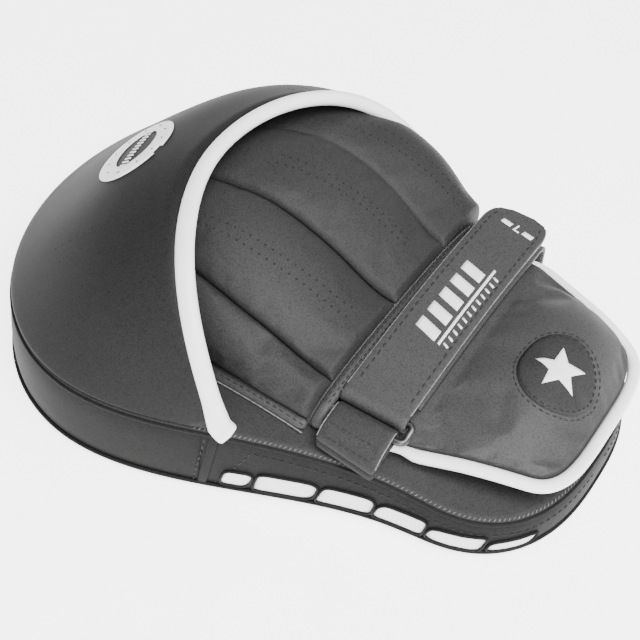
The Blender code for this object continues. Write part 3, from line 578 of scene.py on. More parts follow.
def grain_group() -> bpy.types.NodeTree:
    """Pebbled leather grain: cell height with fine creases, and a tone for its valleys.

    Returns:
        The node group, made once.
    """
    tree, new = group_tree(
        Effect.GRAIN, (("Vector", "Vector"), ("Scale", "Float")),
        (("Height", "Float"), ("Tone", "Float")))
    if not new:
        return tree
    start = tree.nodes.new("NodeGroupInput")
    end = tree.nodes.new("NodeGroupOutput")
    cells = tree.nodes.new("ShaderNodeTexVoronoi")
    cells.feature = "SMOOTH_F1"
    cells.inputs["Smoothness"].default_value = 0.35
    tree.links.new(start.outputs["Vector"], cells.inputs["Vector"])
    tree.links.new(start.outputs["Scale"], cells.inputs["Scale"])
    pebble = calc(tree, "SUBTRACT", 1.0, cells.outputs["Distance"])
    coarse = calc(tree, "MULTIPLY", start.outputs["Scale"], 0.45)
    crease = noise(tree, start.outputs["Vector"], coarse, 3.0)
    for output, of_pebble, of_crease in (("Height", 0.8, 0.3), ("Tone", 0.75, 0.25)):
        both = calc(tree, "ADD", calc(tree, "MULTIPLY", pebble, of_pebble),
                    calc(tree, "MULTIPLY", crease, of_crease))
        tree.links.new(both, end.inputs[output])
    return tree


def weave_group() -> bpy.types.NodeTree:
    """Plain weave of two crossing yarns.

    Returns:
        The node group, made once.
    """
    tree, new = group_tree(
        Effect.WEAVE, (("Vector", "Vector"), ("Scale", "Float")),
        (("Height", "Float"), ("Tone", "Float")))
    if not new:
        return tree
    start = tree.nodes.new("NodeGroupInput")
    end = tree.nodes.new("NodeGroupOutput")
    yarns = []
    for axis in ("X", "Y"):
        wave = tree.nodes.new("ShaderNodeTexWave")
        wave.bands_direction = axis
        wave.inputs["Distortion"].default_value = 0.6
        tree.links.new(start.outputs["Vector"], wave.inputs["Vector"])
        tree.links.new(start.outputs["Scale"], wave.inputs["Scale"])
        yarns.append(wave.outputs["Fac"])
    height = calc(tree, "MAXIMUM", *yarns)
    tree.links.new(height, end.inputs["Height"])
    fluff = noise(tree, start.outputs["Vector"], calc(tree, "MULTIPLY", start.outputs["Scale"], 0.3))
    tree.links.new(calc(tree, "MULTIPLY", height, fluff), end.inputs["Tone"])
    return tree


def handling_group() -> bpy.types.NodeTree:
    """Broad uneven tone left by handling, with faint scuffs.

    Returns:
        The node group, made once.
    """
    tree, new = group_tree(Effect.HANDLING, (("Vector", "Vector"), ("Amount", "Float")),
                           (("Mask", "Float"),))
    if not new:
        return tree
    start = tree.nodes.new("NodeGroupInput")
    end = tree.nodes.new("NodeGroupOutput")
    broad = noise(tree, start.outputs["Vector"], 22.0, 2.0)
    fine = noise(tree, start.outputs["Vector"], 170.0, 4.0)
    both = calc(tree, "ADD", calc(tree, "MULTIPLY", broad, 0.7), calc(tree, "MULTIPLY", fine, 0.3))
    centred = calc(tree, "SUBTRACT", both, 0.5)
    tree.links.new(calc(tree, "ADD", calc(tree, "MULTIPLY", centred, start.outputs["Amount"]), 0.5),
                   end.inputs["Mask"])
    return tree


@dataclass(frozen=True)
class Finish:
    """Surface finish of one stuff.

    Attributes:
        name: Material name.
        dark: Colour in its low or worn places.
        light: Colour in its high places.
        effect: Fine pattern, grain or weave.
        pitch: Size of the pattern in millimetres.
        depth: Height of the pattern in millimetres.
        handling: How uneven the broad tone is.
    """

    name: str
    dark: Colour
    light: Colour
    roughness: float = 0.55
    effect: Effect = Effect.GRAIN
    pitch: float = 0.9
    depth: float = 0.10
    handling: float = 0.6
    metallic: float = 0.0
    specular: float = 0.5
    sheen: float = 0.0
    coat: float = 0.0
    glow: float = 0.0

    def build(self) -> bpy.types.Material:
        """Make the node material.

        Returns:
            The material, made once for each finish.
        """
        found = bpy.data.materials.get(self.name)
        if found:
            return found
        material = bpy.data.materials.new(self.name)
        material.use_nodes = True
        tree = material.node_tree
        shader = tree.nodes["Principled BSDF"]
        shader.inputs["Metallic"].default_value = self.metallic
        shader.inputs["Specular IOR Level"].default_value = self.specular
        shader.inputs["Sheen Weight"].default_value = self.sheen
        shader.inputs["Sheen Roughness"].default_value = 0.4
        shader.inputs["Coat Weight"].default_value = self.coat
        shader.inputs["Coat Roughness"].default_value = 0.35
        shader.inputs["Emission Color"].default_value = (1.0, 1.0, 1.0, 1.0)
        shader.inputs["Emission Strength"].default_value = self.glow
        where = tree.nodes.new("ShaderNodeTexCoord").outputs["Object"]
        pattern = tree.nodes.new("ShaderNodeGroup")
        pattern.node_tree = grain_group() if self.effect is Effect.GRAIN else weave_group()
        pattern.inputs["Scale"].default_value = 1.0 / (self.pitch * MM)
        tree.links.new(where, pattern.inputs["Vector"])
        marks = tree.nodes.new("ShaderNodeGroup")
        marks.node_tree = handling_group()
        marks.inputs["Amount"].default_value = self.handling
        tree.links.new(where, marks.inputs["Vector"])
        tone = calc(tree, "MULTIPLY", pattern.outputs["Tone"], marks.outputs["Mask"])
        ramp = tree.nodes.new("ShaderNodeValToRGB")
        ramp.color_ramp.elements[0].position = 0.10
        ramp.color_ramp.elements[0].color = (*self.dark, 1.0)
        ramp.color_ramp.elements[1].position = 0.45
        ramp.color_ramp.elements[1].color = (*self.light, 1.0)
        tree.links.new(tone, ramp.inputs["Fac"])
        tree.links.new(ramp.outputs["Color"], shader.inputs["Base Color"])
        worn = calc(tree, "MULTIPLY", marks.outputs["Mask"], -0.16)
        rough = calc(tree, "ADD", worn, self.roughness + 0.08)
        tree.links.new(rough, shader.inputs["Roughness"])
        bump = tree.nodes.new("ShaderNodeBump")
        bump.inputs["Strength"].default_value = 1.0
        bump.inputs["Distance"].default_value = self.depth * MM
        tree.links.new(pattern.outputs["Height"], bump.inputs["Height"])
        tree.links.new(bump.outputs["Normal"], shader.inputs["Normal"])
        return material


LEATHER = Finish("mitt_leather", (0.014, 0.014, 0.014), (0.034, 0.034, 0.034), 0.60, pitch=0.6,
                 depth=0.06, handling=0.4, specular=0.22)
# Same black leather as the mitt, its colour darkened as painted shade for the hood, which faces away from
# the lights.
SHADED_HOOD_LEATHER = Finish("hood_leather", (0.008, 0.008, 0.008), (0.020, 0.020, 0.020), 0.60, pitch=0.6,
                      depth=0.06, handling=0.4, specular=0.15)
# Same black leather, its colour darkened as painted shade on the side walls, seam strips, welts and vent
# lips.
SHADED_SIDE_LEATHER = Finish("side_leather", (0.005, 0.005, 0.005), (0.014, 0.014, 0.014), 0.60, pitch=0.7,
                      depth=0.07, handling=0.5, specular=0.10)
# Same black leather, its colour lightened as painted light, set from the brightly lit strap and cuff; also
# used on the thumb loop, base strap and panel bindings.
LIT_STRAP_LEATHER = Finish("strap_leather", (0.026, 0.026, 0.026), (0.058, 0.058, 0.058), 0.56, pitch=0.6,
                       depth=0.06, handling=0.4, specular=0.3)
# Light grey cords on cut edges: edge paint, lightened as painted highlight of the rounded edges.
EDGE_PAINT_AND_HIGHLIGHT = Finish("cut_edge", (0.08, 0.08, 0.08), (0.20, 0.20, 0.20), 0.6, depth=0.05)
PIPING = Finish("white_piping", (0.88, 0.88, 0.88), (0.97, 0.97, 0.97), 0.42, pitch=0.7, depth=0.02,
                handling=0.4, coat=0.1)
VENT_WHITE = Finish("vent_white", (0.84, 0.84, 0.84), (0.96, 0.96, 0.96), 0.5, Effect.WEAVE, pitch=1.0,
                    depth=0.10, handling=0.3)
PRINT = Finish("white_print", (0.88, 0.88, 0.88), (0.97, 0.97, 0.97), 0.5, pitch=0.7, depth=0.03,
               handling=0.5)
THREAD = Finish("dark_thread", (0.006, 0.006, 0.006), (0.022, 0.022, 0.022), 0.7, Effect.WEAVE,
                pitch=0.35, depth=0.05)
GREY_THREAD = Finish("grey_thread", (0.10, 0.10, 0.10), (0.30, 0.30, 0.30), 0.7, Effect.WEAVE,
                     pitch=0.35, depth=0.05)
# Near-black colour of the perforations: painted shade inside the holes.
HOLE_SHADE = Finish("perforation", (0.002, 0.002, 0.002), (0.008, 0.008, 0.008), 0.9, depth=0.02)
LINING = Finish("lining_cloth", (0.018, 0.018, 0.019), (0.07, 0.07, 0.073), 0.85, Effect.WEAVE, pitch=1.1,
                depth=0.16, sheen=0.25)
FOAM_GREY = Finish("impact_foam_grey", (0.14, 0.15, 0.17), (0.34, 0.35, 0.38), 0.9, pitch=1.4, depth=0.3)
FOAM_PALE = Finish("shock_foam_pale", (0.50, 0.48, 0.40), (0.80, 0.77, 0.68), 0.9, pitch=1.4, depth=0.3)
DAMPING = Finish("damping_sheet", (0.05, 0.05, 0.06), (0.18, 0.18, 0.2), 0.5, pitch=2.0, depth=0.1)
HOOK = Finish("hook_tape", (0.006, 0.006, 0.006), (0.05, 0.05, 0.05), 0.8, Effect.WEAVE, pitch=1.3,
              depth=0.5, sheen=0.1)
LOOP = Finish("loop_tape", (0.010, 0.010, 0.010), (0.07, 0.07, 0.07), 0.95, pitch=0.6, depth=0.4, sheen=0.5)
METAL = Finish("blackened_steel", (0.06, 0.06, 0.062), (0.16, 0.16, 0.165), 0.38, pitch=3.0, depth=0.02,
               metallic=1.0)
BACKDROP = Finish("studio_floor", (0.86, 0.86, 0.86), (0.92, 0.92, 0.92), 0.9, pitch=30.0, depth=0.01,
                  handling=0.05, specular=0.1, glow=3.2)


# ---------------------------------------------------------------- mesh tools


def turned_axes(degrees: float) -> tuple[Vector, Vector]:
    """Level axes turned about the upright, for a flat drawing's X and Y.

    Args:
        degrees: Turn, anticlockwise seen from above.

    Returns:
        The two directions.
    """
    turn = math.radians(degrees)
    return (Vector((math.cos(turn), math.sin(turn), 0.0)),
            Vector((-math.sin(turn), math.cos(turn), 0.0)))


def add_ring(mesh: bmesh.types.BMesh, sides: int, place: Matrix,
             cap: bool = False) -> list[bmesh.types.BMEdge]:
    """Add a circle of radius 1, placed by a matrix.

    Args:
        mesh: Mesh to add it to.
        sides: Sides of the circle.
        place: Matrix that places and stretches it.
        cap: Whether it gets a face.

    Returns:
        The edges of the circle.
    """
    made = bmesh.ops.create_circle(mesh, cap_ends=cap, segments=sides, radius=1.0, matrix=place)
    return list({edge for vert in made["verts"] for edge in vert.link_edges})


def bridge(mesh: bmesh.types.BMesh, loops: Sequence[list[bmesh.types.BMEdge]],
           closed: bool = False) -> None:
    """Join neighbouring loops of edges with faces, and the last to the first if closed.

    Args:
        mesh: Mesh they lie in.
        loops: Loops in order.
        closed: Whether the last one joins the first.
    """
    pairs = list(zip(loops, loops[1:]))
    if closed:
        pairs.append((loops[-1], loops[0]))
    for a, b in pairs:
        bmesh.ops.bridge_loops(mesh, edges=a + b)


def sheet(columns: int, rows: int, place: Place) -> bmesh.types.BMesh:
    """Open grid laid on a surface.

    Args:
        columns: Cells across.
        rows: Cells along.
        place: Surface point for fractions across and along.

    Returns:
        The mesh in millimetres.
    """
    mesh = bmesh.new()
    bmesh.ops.create_grid(mesh, x_segments=columns, y_segments=rows, size=0.5)
    for vert in mesh.verts:
        vert.co = place(vert.co.x + 0.5, vert.co.y + 0.5)
    return mesh


def slab(columns: int, rows: int, upper: Place, lower: Place) -> bmesh.types.BMesh:
    """Closed body between two surfaces; its lower faces take the second material.

    Args:
        columns: Cells across.
        rows: Cells along.
        upper: Upper surface for fractions across and along.
        lower: Lower surface for the same fractions.

    Returns:
        The mesh in millimetres.
    """
    mesh = bmesh.new()
    bmesh.ops.create_grid(mesh, x_segments=columns, y_segments=rows, size=0.5)
    tops = list(mesh.verts)
    made = bmesh.ops.duplicate(mesh, geom=mesh.verts[:] + mesh.edges[:] + mesh.faces[:])["geom"]
    for item in made:
        if isinstance(item, bmesh.types.BMFace):
            item.material_index = 1
            item.normal_flip()
    lows = [item for item in made if isinstance(item, bmesh.types.BMVert)]
    for verts, place in ((tops, upper), (lows, lower)):
        for vert in verts:
            vert.co = place(vert.co.x + 0.5, vert.co.y + 0.5)
    bmesh.ops.bridge_loops(mesh, edges=[edge for edge in mesh.edges if edge.is_boundary])
    return mesh


def frame_at(point: Vector, along: Vector, normal: Vector, sizes: Sequence[float]) -> Matrix:
    """Matrix that lays an upright shape along a path.

    Args:
        point: Where its middle goes.
        along: Direction its upright axis takes.
        normal: Direction its second axis leans to.
        sizes: Stretch across, out of the surface and along.

    Returns:
        The placing matrix.
    """
    along = along.normalized()
    across = along.cross(normal).normalized()
    out = across.cross(along).normalized()
    turn = Matrix((across * sizes[0], out * sizes[1], along * sizes[2])).transposed()
    return Matrix.Translation(point) @ turn.to_4x4()


def sweep(path: Sequence[Vector], wide: float, high: float, sides: int = 12, closed: bool = False,
          normals: Sequence[Vector] | None = None, taper: float = 0.0,
          flare: float = 0.0, profile: Callable[[float], float] | None = None) -> bmesh.types.BMesh:
    """Cord or binding of oval section along a path.

    Args:
        path: Points of its middle line.
        wide: Half width across the path.
        high: Half height out of the surface.
        sides: Sides of the section.
        closed: Whether the path closes on itself.
        normals: Outward direction at each point, or None for upwards.
        taper: Share of the length over which each end narrows.
        flare: Share by which the last points of each end widen.
        profile: Width share along the path, from 0 to 1.

    Returns:
        The mesh in millimetres.
    """
    mesh = bmesh.new()
    count = len(path)
    loops = []
    for k, point in enumerate(path):
        before = path[k - 1] if closed or k else path[0]
        after = path[(k + 1) % count] if closed or k < count - 1 else path[-1]
        size = 1.0
        if taper:
            size = 0.35 + 0.65 * smooth(min(k, count - 1 - k) / (taper * count))
        widen = 1.0 + flare * smooth(1.0 - min(k, count - 1 - k) / 6.0)
        normal = normals[k] if normals else UP
        if profile:
            widen *= profile(k / (count - 1))
        place = frame_at(point, after - before, normal, (wide * size * widen, high * size, 1.0))
        loops.append(add_ring(mesh, sides, place, not closed and k in (0, count - 1)))
    bridge(mesh, loops, closed)
    return mesh


def round_off(obj: bpy.types.Object, levels: int = 1) -> None:
    """Round a piece by subdivision.

    Args:
        obj: The piece.
        levels: Subdivision levels.
    """
    rounded = obj.modifiers.new("rounded", "SUBSURF")
    rounded.levels = levels
    rounded.render_levels = levels


def piece(name: str, mesh: bmesh.types.BMesh, finishes: Sequence[Finish], levels: int = 0,
          thickness: float = 0.0) -> bpy.types.Object:
    """Turn a mesh in millimetres into a finished object.

    Args:
        name: Piece name.
        mesh: Its bmesh, which is freed.
        finishes: Finish of each material slot.
        levels: Subdivision levels.
        thickness: Wall thickness for an open sheet, or 0.

    Returns:
        The linked object.
    """
    if not thickness:
        bmesh.ops.recalc_face_normals(mesh, faces=mesh.faces)
    bmesh.ops.scale(mesh, vec=(MM, MM, MM), verts=mesh.verts)
    for face in mesh.faces:
        face.smooth = True
    if name in frame["nodes"]:
        name += "_skin"
    data = bpy.data.meshes.new(name)
    mesh.to_mesh(data)
    mesh.free()
    obj = bpy.data.objects.new(name, data)
    bpy.context.scene.collection.objects.link(obj)
    for finish in finishes:
        data.materials.append(finish.build())
    if thickness:
        wall = obj.modifiers.new("wall", "SOLIDIFY")
        wall.thickness = thickness * MM
        wall.offset = -1.0
        wall.material_offset = 1 if len(finishes) > 1 else 0
    if levels:
        round_off(obj, levels)
    LOG.info("%s: %d faces", name, len(data.polygons))
    return obj


def settle(obj: bpy.types.Object) -> bpy.types.Object:
    """Apply an object's modifiers to its mesh.

    Args:
        obj: The piece.

    Returns:
        The same piece.
    """
    graph = bpy.context.evaluated_depsgraph_get()
    data = bpy.data.meshes.new_from_object(obj.evaluated_get(graph), depsgraph=graph)
    obj.modifiers.clear()
    obj.data = data
    return obj


def join_body(obj: bpy.types.Object, body: str, nodes: Sequence[str] = ()) -> bpy.types.Object:
    """Make a piece ride on a body and stand for CAD nodes.

    Args:
        obj: The piece.
        body: Body that it rides on.
        nodes: CAD nodes that it stands for.

    Returns:
        The same piece.
    """
    if nodes:
        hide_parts(*nodes)
    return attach(obj, body)


def inflate(obj: bpy.types.Object, pinned: Sequence[int], pressure: float, cap: float,
            spare: float) -> None:
    """Blow up a stuffed piece by cloth simulation and keep the result.

    Args:
        obj: The piece, still without modifiers.
        pinned: Vertices held by seams or by what the piece rests on.
        pressure: Stuffing pressure.
        cap: Furthest that a point may move, in millimetres.
        spare: Share by which the cover is larger than its pattern.
    """
    scene = bpy.context.scene
    group = obj.vertex_groups.new(name="sewn")
    group.add(list(pinned), 1.0, "REPLACE")
    cloth = obj.modifiers.new("stuffing", "CLOTH")
    cloth.settings.quality = 6
    cloth.settings.mass = 0.25
    cloth.settings.tension_stiffness = 12.0
    cloth.settings.compression_stiffness = 12.0
    cloth.settings.bending_stiffness = 6.0
    cloth.settings.use_pressure = True
    cloth.settings.uniform_pressure_force = pressure
    cloth.settings.vertex_group_mass = group.name
    cloth.settings.shrink_min = -spare
    cloth.settings.effector_weights.gravity = 0.0
    cloth.point_cache.frame_end = 20
    for number in range(1, 21):
        scene.frame_set(number)
    graph = bpy.context.evaluated_depsgraph_get()
    blown = [vert.co.copy() for vert in obj.evaluated_get(graph).data.vertices]
    obj.modifiers.remove(cloth)
    obj.vertex_groups.remove(group)
    for vert, place in zip(obj.data.vertices, blown):
        move = place - vert.co
        if move.length > cap * MM:
            move = move.normalized() * cap * MM
        vert.co += move
    scene.frame_set(1)


def sewn_verts(mesh: bmesh.types.BMesh) -> tuple[int, set[int]]:
    """Vertices of a slab that its seams hold: its lower surface and the rim of its upper one.

    Args:
        mesh: Mesh made by slab.

    Returns:
        How many vertices its upper surface has, and the numbers of the held ones.
    """
    mesh.verts.index_update()
    half = len(mesh.verts) // 2
    rim = {vert.index for vert in mesh.verts if vert.index < half
           and any(edge.other_vert(vert).index >= half for edge in vert.link_edges)}
    return half, rim | set(range(half, 2 * half))


class Skin:
    """Finished surface that trims, stitches and prints are laid on."""

    def __init__(self, *objects: bpy.types.Object) -> None:
        """Read the surfaces, their modifiers included.

        Args:
            objects: Pieces that the surface is made of.
        """
        bpy.context.view_layer.update()
        graph = bpy.context.evaluated_depsgraph_get()
        self.trees = [BVHTree.FromObject(obj, graph) for obj in objects]

    def meet(self, point: Vector, direction: Vector, reach: float = 14.0) -> tuple[Vector, Vector]:
        """Drop a point on the surface.

        Args:
            point: Rough place in millimetres.
            direction: Way to drop, into the surface.
            reach: Distance to start above the rough place.

        Returns:
            The place on the surface in millimetres, and the outward direction there.
        """
        direction = direction.normalized()
        start = (point - direction * reach) * MM
        best = None
        for tree in self.trees:
            hit, normal, _, distance = tree.ray_cast(start, direction, 3.0 * reach * MM)
            if hit is not None and (best is None or distance < best[2]):
                best = (hit / MM, normal, distance)
        if best is None:
            return point.copy(), -direction
        normal = best[1] if best[1].dot(direction) < 0.0 else -best[1]
        return best[0], normal


def walk(route: Route, pitch: float) -> list[tuple[Vector, Vector, Vector]]:
    """Even stations on a route.

    Args:
        route: Points with their outward directions.
        pitch: Distance between stations.

    Returns:
        Place, direction along and outward direction of each station.
    """
    stations = []
    target = 0.5 * pitch
    run = 0.0
    for (a, na), (b, nb) in zip(route, route[1:]):
        length = (b - a).length
        while length > 0.0 and run + length >= target:
            t = (target - run) / length
            stations.append((a.lerp(b, t), (b - a).normalized(), na.lerp(nb, t).normalized()))
            target += pitch
        run += length
    return stations


def stitch(name: str, routes: Sequence[Route], finish: Finish = THREAD, pitch: float = 4.2,
           length: float = 2.7, thread: float = 0.33, slant: float = 0.0) -> bpy.types.Object:
    """Rows of thread stitches.

    Args:
        name: Piece name.
        routes: Rows to sew.
        finish: Thread finish.
        pitch: Distance from stitch to stitch.
        length: Length of thread that shows.
        thread: Half thickness of the thread.
        slant: Turn of each stitch from its row, in radians.

    Returns:
        The stitches as one object.
    """
    mesh = bmesh.new()
    for route in routes:
        for point, along, normal in walk(route, pitch):
            along = Matrix.Rotation(slant, 3, normal) @ along
            place = frame_at(point + normal * 0.12, along, normal, (thread, thread, 0.5 * length))
            bmesh.ops.create_uvsphere(mesh, u_segments=6, v_segments=4, radius=1.0, matrix=place)
    return piece(name, mesh, (finish,))


def punch(name: str, routes: Sequence[Route], pitch: float, radius: float) -> bpy.types.Object:
    """Rows of small round near-black discs lying in a surface, standing for holes: the dark of each hole is
    painted shade.

    Args:
        name: Piece name.
        routes: Rows to punch.
        pitch: Distance from hole to hole.
        radius: Radius of a hole.

    Returns:
        The holes as one object.
    """
    mesh = bmesh.new()
    for route in routes:
        for point, along, normal in walk(route, pitch):
            place = frame_at(point + normal * 0.06, normal, along, (radius, radius, 0.05))
            bmesh.ops.create_cone(mesh, cap_ends=True, segments=10, radius1=1.0, radius2=0.8,
                                  depth=2.0, matrix=place)
    return piece(name, mesh, (HOLE_SHADE,))


def flat_grid(mesh: bmesh.types.BMesh, corners: Sequence[tuple[float, float]], cell: float) -> None:
    """Add a four-cornered patch of cells to a flat drawing.

    Args:
        mesh: Drawing to add it to.
        corners: Its corners in order.
        cell: Size of a cell.
    """
    a, b, c, d = (Vector(p) for p in corners)
    columns = max(1, round((b - a).length / cell))
    rows = max(1, round((d - a).length / cell))
    made = bmesh.ops.create_grid(mesh, x_segments=columns, y_segments=rows, size=0.5)
    for vert in made["verts"]:
        u, v = vert.co.x + 0.5, vert.co.y + 0.5
        p = a.lerp(b, u).lerp(d.lerp(c, u), v)
        vert.co = (p.x, p.y, 0.0)


def slant_bar(mesh: bmesh.types.BMesh, left: float, wide: float, ends: tuple[float, float],
              lean: float, cell: float) -> None:
    """Add a slanted bar to a flat drawing.

    Args:
        mesh: Drawing to add it to.
        left: X of its lower left corner.
        wide: Width of the bar.
        ends: Y of its lower and upper end.
        lean: How far its upper end is shifted in X.
        cell: Size of the cells it is made of.
    """
    low, high = ends
    flat_grid(mesh, ((left, low), (left + wide, low), (left + wide + lean, high),
                     (left + lean, high)), cell)


def raise_flat(mesh: bmesh.types.BMesh, thickness: float) -> None:
    """Give a flat drawing an even thickness by extrusion.

    Args:
        mesh: Drawing in the XY plane.
        thickness: Its thickness.
    """
    made = bmesh.ops.extrude_face_region(mesh, geom=mesh.faces[:])["geom"]
    lifted = [item for item in made if isinstance(item, bmesh.types.BMVert)]
    bmesh.ops.translate(mesh, vec=(0.0, 0.0, thickness), verts=lifted)


def wrap(mesh: bmesh.types.BMesh, skin: Skin, origin: Vector, across: Vector, along: Vector,
         lift: float = 0.05) -> None:
    """Lay a flat drawing on a surface.

    Args:
        mesh: Drawing in the XY plane, with its thickness along Z.
        skin: Surface to lay it on.
        origin: Where the drawing's origin goes.
        across: Direction of its X.
        along: Direction of its Y.
        lift: Gap under it.
    """
    out = across.cross(along).normalized()
    for vert in mesh.verts:
        rough = origin + across * vert.co.x + along * vert.co.y
        place, normal = skin.meet(rough, -out)
        vert.co = place + normal * (vert.co.z + lift)


# ---------------------------------------------------------------- sub-assemblies


@dataclass
class StrikePad:
    """Foam pad with its strike face, palm cover and hidden layers."""

    roll: float = 3.4
    welt: float = 0.95
    target_radii: tuple[float, ...] = (24.0, 46.0)
    target_y: float = 22.0

    def cover_point(self, u: float, v: float, base: bool) -> Vector:
        """Point of the palm cover or strike face, from its middle (v = 0) over the rim.

        Args:
            u: Place round the rim, 0 to 1.
            v: 0 at the middle, 1 at the foot of the rolled edge.
            base: Whether it is the strike face.

        Returns:
            The point in millimetres.
        """
        s = 2.0 * u - 1.0
        extra = -PAD.flare if base else 0.0
        flat = 0.72
        if v <= flat:
            spread = (v / flat) ** 0.8
            rim = PAD.rim(s, self.roll + extra)
            p = Vector((0.0, 10.0)).lerp(rim, spread)
            drop = 0.9 * smooth((spread - 0.9) / 0.1)
        else:
            turn = 0.5 * math.pi * (v - flat) / (1.0 - flat)
            p = PAD.rim(s, self.roll * (1.0 - math.sin(turn)) + extra)
            drop = 0.9 + (PAD.skin - 0.9) * (1.0 - math.cos(turn))
        if base:
            return Vector((p.x, p.y, 0.6 * drop))
        return Vector((p.x, p.y, PAD.top(p.y) - drop))

    def build_cover(self, name: str, base: bool) -> bpy.types.Object:
        """Make the palm cover or the strike face.

        Args:
            name: Piece name.
            base: Whether it is the strike face.

        Returns:
            The finished piece.
        """
        mesh = sheet(224, 22, lambda u, v: self.cover_point(u, v, base))
        bmesh.ops.remove_doubles(mesh, verts=mesh.verts, dist=0.02)
        bmesh.ops.recalc_face_normals(mesh, faces=mesh.faces)
        centre = min(mesh.faces, key=lambda face: face.calc_center_median().xy.length)
        if (centre.normal.z < 0.0) != base:
            bmesh.ops.reverse_faces(mesh, faces=mesh.faces)
        obj = piece(name, mesh, (LEATHER,), thickness=0.9)
        return join_body(obj, "mitt", (name,))

    def build_welts(self) -> None:
        """Thin leather welts in the seams at the top and foot of the wall."""
        count = 300
        for name, base in (("rim_welt_top", False), ("rim_welt_foot", True)):
            path = []
            for k in range(count):
                s = 2.0 * k / count - 1.0
                y = PAD.rim(s).y
                z = 2.3 if base else PAD.top(y) - PAD.skin - 0.2
                path.append(PAD.wall(s, z, 0.1 if base else -0.25))
            obj = piece(name, sweep(path, self.welt, self.welt, 8, closed=True), (SHADED_SIDE_LEATHER,))
            join_body(obj, "mitt")

    def build_target(self) -> None:
        """Plain printed rings and a dot on the strike face."""
        mesh = bmesh.new()
        for radius in self.target_radii:
            outer = bmesh.ops.create_circle(mesh, segments=96, radius=radius)["verts"]
            inner = bmesh.ops.create_circle(mesh, segments=96, radius=radius - 3.2)["verts"]
            edges = list({edge for vert in outer + inner for edge in vert.link_edges})
            bmesh.ops.bridge_loops(mesh, edges=edges)
        bmesh.ops.create_circle(mesh, cap_ends=True, segments=48, radius=7.0)
        raise_flat(mesh, 0.12)
        bmesh.ops.translate(mesh, vec=(0.0, self.target_y, -0.10), verts=mesh.verts)
        join_body(piece("strike_target", mesh, (PRINT,)), "mitt")

    def dress_core(self) -> None:
        """Give the hidden foam layers their own finishes."""
        for name, finish in (("impact_foam", FOAM_GREY), ("damping_layer", DAMPING),
                             ("shock_foam", FOAM_PALE)):
            frame["nodes"][name].material_slots[0].material = finish.build()

    def build(self) -> bpy.types.Object:
        """Build the pad and return its palm cover.

        Returns:
            The palm cover.
        """
        cover = self.build_cover("palm_cover", False)
        self.build_cover("strike_face", True)
        self.build_welts()
        self.build_target()
        self.dress_core()
        return cover


